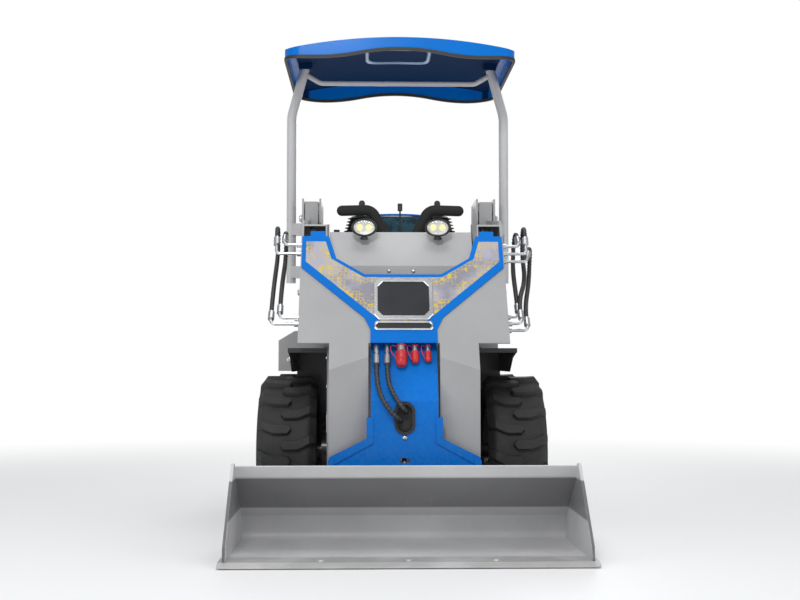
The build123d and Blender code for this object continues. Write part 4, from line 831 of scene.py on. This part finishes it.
def makeLamps():
    bowls, mirrors, lenses, glows = [], [], [], []
    wide, tall = lamp["wide"], lamp["tall"]
    for hand in side.values():
        centre = np.array([hand * lamp["x"], lipY + lamp["b"] / 1000, lamp["z"]])
        bowls.append(ovalLathe(lamp["bowl"], centre, wide, tall))
        for k in range(-2, 3):
            root = centre + [k * lamp["finApart"], 0.034, 0.030]
            bowls.append(lathe([(0.0, 0.0022), (0.010, 0.0022)], root, (0, 1, 0), 8))
        bowls.append(lathe([(0.0, 0.011), (0.068, 0.011)], centre + [0, 0.026, -0.012], (0, 1, -0.22), 16))
        bowls.append(lathe(lamp["foot"], centre + [0, 0.016, -0.056], (0, 0, 1), 16))
        for reach in (-lamp["boltApart"], lamp["boltApart"]):
            bowls.append(domeHead(centre + [reach, 0.012, -0.052], (0, -0.5, 0.8), 0.005, 0.003))
        # the lens bulges as depth = 0.0056 - 0.0042 sin(a) at 0.81 cos(a) of the oval
        bulge = np.linspace(0, pi / 2, 7)
        lens = [(0.0056 - 0.0042 * sin(a), 0.81 * cos(a) + 0.001) for a in bulge]
        lenses.append(ovalLathe([(0.0058, 0.79)] + lens, centre, wide, tall))
        mirrors.append(ovalLathe(lamp["mirror"], centre, wide, tall))
        for reach in (-lamp["emitterApart"], lamp["emitterApart"]):
            glows.append(lathe(lamp["emitter"], centre + [reach, 0.0063, 0], (0, -1, 0), 24))
    replaced = {"lampBowls": ("lamp_housings",), "lampLenses": ("lamp_lenses",)}
    for name, parts, paint, slotName in (("lampBowls", bowls, "plastic", "black_plastic"),
                                         ("lampMirrors", mirrors, "mirror", "zinc_steel"),
                                         ("lampLenses", lenses, "lens", "lamp_glass"),
                                         ("lampEmitters", glows, "glow", "lamp_glass")):
        piece(name, *joined(parts), paint, "chassis", 40.0, slotName, replaced.get(name, ()))


makeLamps()
print("lamps made")


# Rubber: bellows, caps and knobs

bellows = {"x": 0.183, "b": 1405.0, "z": 1.360, "foot": 0.095, "neck": 0.067, "tall": 0.092, "folds": 6}


def makeBellows():
    # Radius falls along the height and swings in and out once a fold, as a sharpened cosine.
    along = np.linspace(0, 1, bellows["folds"] * 12 + 1)
    fold = np.abs(np.cos(pi * bellows["folds"] * along)) ** 0.7
    radius = bellows["foot"] + (bellows["neck"] - bellows["foot"]) * along - 0.015 * fold
    radius[0] = bellows["foot"] - 0.004
    profile = [(bellows["tall"] * a, r) for a, r in zip(along, radius)]
    profile += [(bellows["tall"] + rise, r) for rise, r in ((0.002, 0.050), (0.006, 0.030), (0.010, 0.014))]
    parts = [lathe(profile, (hand * bellows["x"], lipY + bellows["b"] / 1000, bellows["z"]), (0, 0, 1), 48)
             for hand in side.values()]
    piece("leverBoots", *joined(parts), "rubber", "chassis", 60.0, "black_rubber", ("lever_bellows",))


caps = {"places": ((-12.0, 25.0), (46.0, 18.0), (101.0, 15.5)), "start": 46.0, "collar": 60.0, "off": 2.5,
        "strap": ((-0.9, 0.3, 17.0), (-1.7, 0.8, 8.0), (-1.9, 1.3, 30.0), (-1.4, 1.2, 62.0),
                  (-0.6, 0.9, 84.0))}


def makeCaps():
    # Each cap is a cup with grip ribs, a rounded end and a bead at its mouth.
    parts, straps = [], []
    for x, cap in caps["places"]:
        r = cap / 1000
        long = (caps["collar"] + 2.2 * cap - caps["start"]) / 1000
        base = shelfAxis(x, cap + caps["off"], caps["start"])
        along = np.linspace(0, 1, 30)
        rib = 0.0012 * (np.cos(2 * pi * along * 9) > 0.2) * (along < 0.55)
        body = np.where(along < 0.62, r - 0.0016 + rib, (r - 0.001) * np.sqrt(np.clip(
            1 - ((along - 0.62) / 0.40) ** 2 * 0.75, 0.05, 1)))
        profile = [(0.0, r - 0.004), (0.0, r - 0.0002), (0.003, r - 0.0002)]
        profile += [(0.004 + (long - 0.005) * a, rr) for a, rr in zip(along, body)]
        parts.append(lathe(profile, base, leanDown, 36))
        neck = shelfAxis(x, cap + caps["off"], 16)
        ring = lathe([(0.0, r * 0.95), (0.004, r * 0.95)], neck, leanDown, 24)
        straps.append(ring)
        loop = [shelfAxis(x + dx * cap, cap + caps["off"] + lift * cap, fall)
                for dx, lift, fall in caps["strap"]]
        straps.append(tube(evenly(splinePoints(loop), 0.003)[0], 0.0018, 8))
    piece("couplerCaps", *joined(parts), "redRubber", "boom", 40.0, "red_rubber", ("coupler_caps",))
    piece("capRings", *joined(straps), "redRubber", "boom", 40.0, "red_rubber")


makeBellows()
makeCaps()
print("boots and caps made")


# Seat

seat = {"half": 0.235, "front": 1600.0, "rear": 2040.0, "low": 1.0403, "high": 1.1323,
        "backHalf": 0.212, "backFront": 2045.0, "backRear": 2129.7, "backLow": 1.074, "backHigh": 1.550}


def crownedPad(low, high, thin, crown, rounding=3.2, rows=56, columns=72):
    # A superellipsoid: each axis follows sign(c)|c|^(2/n) of a latitude and a longitude, and the thin axis
    # swells towards its middle by the crown.
    low, high = np.array(low), np.array(high)
    middle, half = (low + high) / 2, (high - low) / 2
    latitude = np.linspace(-pi / 2, pi / 2, rows)[:, None]
    longitude = np.arange(columns)[None] * 2 * pi / columns
    power = 2 / rounding

    def bent(value):
        return np.sign(value) * np.abs(value) ** power

    flat = [axis for axis in range(3) if axis != thin]
    share = np.zeros((rows, columns, 3))
    share[..., flat[0]] = bent(np.cos(latitude)) ** 0.75 * bent(np.cos(longitude))
    share[..., flat[1]] = bent(np.cos(latitude)) ** 0.75 * bent(np.sin(longitude))
    share[..., thin] = bent(np.sin(latitude)) * np.ones_like(longitude)
    spread = np.clip(1 - 0.5 * (share[..., flat[0]] ** 2 + share[..., flat[1]] ** 2), 0, 1)
    share[..., thin] *= (1 - crown) + crown * spread
    points = middle + share * half
    faces = gridFaces(rows, columns, closeColumns=True)
    return points.reshape(-1, 3), faces


def puff(made, cap):
    # A pressure cloth settles the cover, no vertex moving further than the cap.
    before = np.empty(len(made.data.vertices) * 3)
    made.data.vertices.foreach_get("co", before)
    cloth = made.modifiers.new("cover", "CLOTH")
    cloth.settings.use_pressure = True
    cloth.settings.uniform_pressure_force = 4.0
    cloth.settings.effector_weights.gravity = 0.0
    cloth.settings.quality = 5
    scene = bpy.context.scene
    for step in range(1, 13):
        scene.frame_set(step)
    view = bpy.context.evaluated_depsgraph_get()
    settled = made.evaluated_get(view).to_mesh()
    after = np.empty(len(settled.vertices) * 3)
    settled.vertices.foreach_get("co", after)
    made.evaluated_get(view).to_mesh_clear()
    made.modifiers.remove(cloth)
    scene.frame_set(1)
    move = (after - before).reshape(-1, 3)
    size = np.linalg.norm(move, axis=1)[:, None]
    move *= np.minimum(1, cap / np.maximum(size, 1e-9))
    made.data.vertices.foreach_set("co", (before.reshape(-1, 3) + move).ravel())
    made.data.update()


def makeSeat():
    y = [lipY + seat[key] / 1000 for key in ("front", "rear", "backFront", "backRear")]
    cushion = crownedPad((-seat["half"] + 0.006, y[0] + 0.006, seat["low"]),
                         (seat["half"] - 0.006, y[1] - 0.006, seat["high"]), 2, 0.25)
    backrest = crownedPad((-seat["backHalf"] + 0.005, y[2] + 0.002, seat["backLow"] + 0.006),
                          (seat["backHalf"] - 0.005, y[3] - 0.002, seat["backHigh"] - 0.006), 1, 0.25, 7.0)
    for name, (points, faces), node in (("seatCushion", cushion, "seat_cushion"),
                                        ("seatBack", backrest, "seat_back")):
        # the top and bottom rows are one point each, so they are merged
        faces = faces if name == "seatCushion" else faces[:, ::-1]
        made = piece(name, points, faces, "cloth", "chassis", 80.0, "seat_cloth", (node,))
        tidyMesh(made)
        puff(made, 0.006)


def tidyMesh(made):
    # Doubles merged and faces turned outwards.
    shape = bmesh.new()
    shape.from_mesh(made.data)
    bmesh.ops.remove_doubles(shape, verts=shape.verts, dist=1e-5)
    bmesh.ops.recalc_face_normals(shape, faces=shape.faces)
    shape.to_mesh(made.data)
    shape.free()
    made.data.update()


makeSeat()
print("seat made")


# Small rubber and trim

grommet = {"z": 0.5195, "half": 0.0310, "tall": 0.0565, "front": 598.0, "back": 602.0}
hatch = {"half": 0.160, "front": 1600.0, "rear": 1880.0, "band": 0.022, "drop": 0.010}


def ovalRing(half, tall, y):
    # A slot outline: half circles above and below straight sides.
    angle = np.linspace(0, 2 * pi, 48, endpoint=False)
    rise = np.where(np.sin(angle) >= 0, tall - half, half - tall)
    z = grommet["z"] + half * np.sin(angle) + rise
    return np.stack([half * np.cos(angle), np.full(48, y), z], axis=1)


def makeMembrane():
    # The rubber that fills the grommet; both hoses go through it.
    front, back = (ovalRing(grommet["half"], grommet["tall"], backFrom(0, grommet[key], 0)[1])
                   for key in ("front", "back"))
    faces = [list(range(48)), list(range(95, 47, -1))]
    faces += [[48 + k, 48 + (k + 1) % 48, (k + 1) % 48, k] for k in range(48)]
    made = piece("grommetMembrane", np.concatenate([front, back]), faces, "rubber", "boom", 35.0,
                 "black_rubber")
    tidyMesh(made)


def ceiling(x, b):
    # Height of the roof's inner face: z = crown - fall (x / half)^2 - (b - middle)^2 / (2 radius).
    run = (b - roof["middle"]) / 1000
    return roof["crown"] - roof["fall"] * (x / roof["half"]) ** 2 - run ** 2 / (2 * roof["radius"])


def makeHatch():
    # A moulded frame on the roof's ceiling: a rounded loop swept with a half-round band.
    count = 96
    turn = np.linspace(0, 2 * pi, count, endpoint=False)
    # superellipse |x/a|^6 + |y/b|^6 = 1
    across = np.sign(np.cos(turn)) * np.abs(np.cos(turn)) ** (1 / 3)
    along = np.sign(np.sin(turn)) * np.abs(np.sin(turn)) ** (1 / 3)
    middle, reach = (hatch["front"] + hatch["rear"]) / 2, (hatch["rear"] - hatch["front"]) / 2
    rows = []
    for a in np.linspace(0, 2 * pi, 12, endpoint=False):
        inset = hatch["band"] / 2 * cos(a)
        x = across * (hatch["half"] + inset)
        b = middle + along * (reach + 1000 * inset)
        z = ceiling(x, b) + 0.002 - hatch["drop"] * max(0.0, sin(a)) + 0.003 * min(0.0, sin(a))
        rows.append(np.stack([x, lipY + b / 1000, z], axis=1))
    points = np.stack(rows).reshape(-1, 3)
    made = piece("roofHatch", points, gridFaces(12, count, True, True), "hatch", "chassis", 60.0,
                 "blue_paint")
    tidyMesh(made)


def makePiping():
    # A blue cord round the seat back's front edge.
    half, low, high = seat["backHalf"] - 0.012, seat["backLow"] + 0.02, seat["backHigh"] - 0.006
    corner = 0.07
    cut = 0.3 * corner
    loop = [(-half, low), (-half, high - corner), (-half + cut, high - cut), (-half + corner, high),
            (half - corner, high), (half - cut, high - cut), (half, high - corner), (half, low)]
    y = lipY + seat["backFront"] / 1000 + 0.014
    line = evenly(splinePoints([(x, y, z) for x, z in loop]), 0.008)[0]
    points, faces = tube(line, 0.006, 10)
    piece("seatPiping", points, faces, "bluePaint", "chassis", 60.0, "seat_cloth")


makeMembrane()
makeHatch()
makePiping()
print("trim made")


# Bolts and small hardware

# Places are (x, depth from the lip, height) in millimetres. Sizes are (across, tall) for a hexagon and
# (radius, tall) for a round head, in metres.
bolts = {"cover": ((0, 580, 438), (0.011, 0.007)), "pivot": ((490, 1620, 1470), (0.030, 0.010)),
         "arm": ((456, 945, 1060), (0.026, 0.010)), "hinge": ((326, 690, 195), (0.026, 0.010)),
         "console": ((56, 1110, 1168), (0.009, 0.006)),
         "tub": ((333, 1010, 770), (333, 1060, 520), (333, 1060, 640)), "tubSize": (0.018, 0.008),
         "post": ((482, 1760, 1330), (482, 1760, 1510)), "postSize": (0.022, 0.010),
         "box": ((-545, 1620, 760), (0.018, 0.008)), "edge": (-325, 0, 325), "edgeSize": (0.016, 0.006)}


def onSide(place, hand):
    return backFrom(hand * place[0], *place[1:])


def makeBolts():
    boom, chassis, bucket = [], [], []
    forward = (0, -1, 0)
    boom.append(domeHead(backFrom(*bolts["cover"][0]), forward, *bolts["cover"][1]))
    for hand in side.values():
        outward = (hand, 0, 0)
        for parts, key, washer in ((chassis, "pivot", True), (boom, "arm", True), (bucket, "hinge", False)):
            place, size = bolts[key]
            parts.append(hexHead(onSide(place, hand), outward, *size, washer))
        place, size = bolts["console"]
        chassis.append(domeHead(onSide(place, hand), forward, *size))
        for key in ("tub", "post"):
            size = bolts[key + "Size"]
            chassis.extend(hexHead(onSide(place, hand), outward, *size) for place in bolts[key])
    chassis.append(hexHead(backFrom(*bolts["box"][0]), forward, *bolts["box"][1]))
    edge = [domeHead(backFrom(x, 75, 20), (0, 0, 1), *bolts["edgeSize"]) for x in bolts["edge"]]
    for name, parts, paint, body in (("boomBolts", boom, "zinc", "boom"),
                                     ("chassisBolts", chassis, "zinc", "chassis"),
                                     ("bucketBolts", bucket, "zinc", "bucket"),
                                     ("edgeBolts", edge, "edgeSteel", "bucket")):
        piece(name, *joined(parts), paint, body, 35.0, "zinc_steel" if paint == "zinc" else "worn_steel")


makeBolts()
print("bolts made")


# Floor and world

floor = {"half": 60.0, "near": 2.2, "far": 6.5}


def makeFloor():
    h = floor["half"]
    mesh = bpy.data.meshes.new("studioFloor")
    mesh.from_pydata([(-h, -h, 0), (h, -h, 0), (h, h, 0), (-h, h, 0)], [], [(0, 1, 2, 3)])
    paint = Paint("studioFloor", Roughness=0.45, Specular_IOR_Level=0.25)
    paint.set("Base Color", (0.92, 0.92, 0.92))
    distance = paint.node("ShaderNodeVectorMath", {"operation": "LENGTH"}, {0: paint.place()}, "Value")
    away = paint.step(distance, floor["near"], floor["far"])
    glow = paint.node("ShaderNodeEmission", {}, {"Color": (1, 1, 1), "Strength": 1.0})
    blend = paint.node("ShaderNodeMixShader", {}, {0: away, 1: Wire(paint, paint.shader.outputs[0]), 2: glow})
    paint.tree.links.new(blend.socket, paint.output.inputs[0])
    mesh.materials.append(paint.material)
    made = bpy.data.objects.new("studioFloor", mesh)
    bpy.context.collection.objects.link(made)


def makeWorld():
    world = bpy.data.worlds.new("studio")
    world.use_nodes = True
    tree = world.node_tree
    tree.nodes.clear()
    path = tree.nodes.new("ShaderNodeLightPath")
    seen = path.outputs["Is Camera Ray"]
    either = tree.nodes.new("ShaderNodeMath")
    either.operation = "MAXIMUM"
    tree.links.new(seen, either.inputs[0])
    tree.links.new(path.outputs["Is Transmission Ray"], either.inputs[1])
    seen = either.outputs[0]
    mix = tree.nodes.new("ShaderNodeMix")
    mix.data_type = "RGBA"
    mix.inputs[6].default_value = (0.42, 0.43, 0.44, 1)
    mix.inputs[7].default_value = (1, 1, 1, 1)
    tree.links.new(seen, mix.inputs[0])
    shade = tree.nodes.new("ShaderNodeBackground")
    tree.links.new(mix.outputs[2], shade.inputs[0])
    end = tree.nodes.new("ShaderNodeOutputWorld")
    tree.links.new(shade.outputs[0], end.inputs[0])
    bpy.context.scene.world = world


makeFloor()
makeWorld()
bpy.context.scene.view_settings.view_transform = "Standard"
print("stage made")
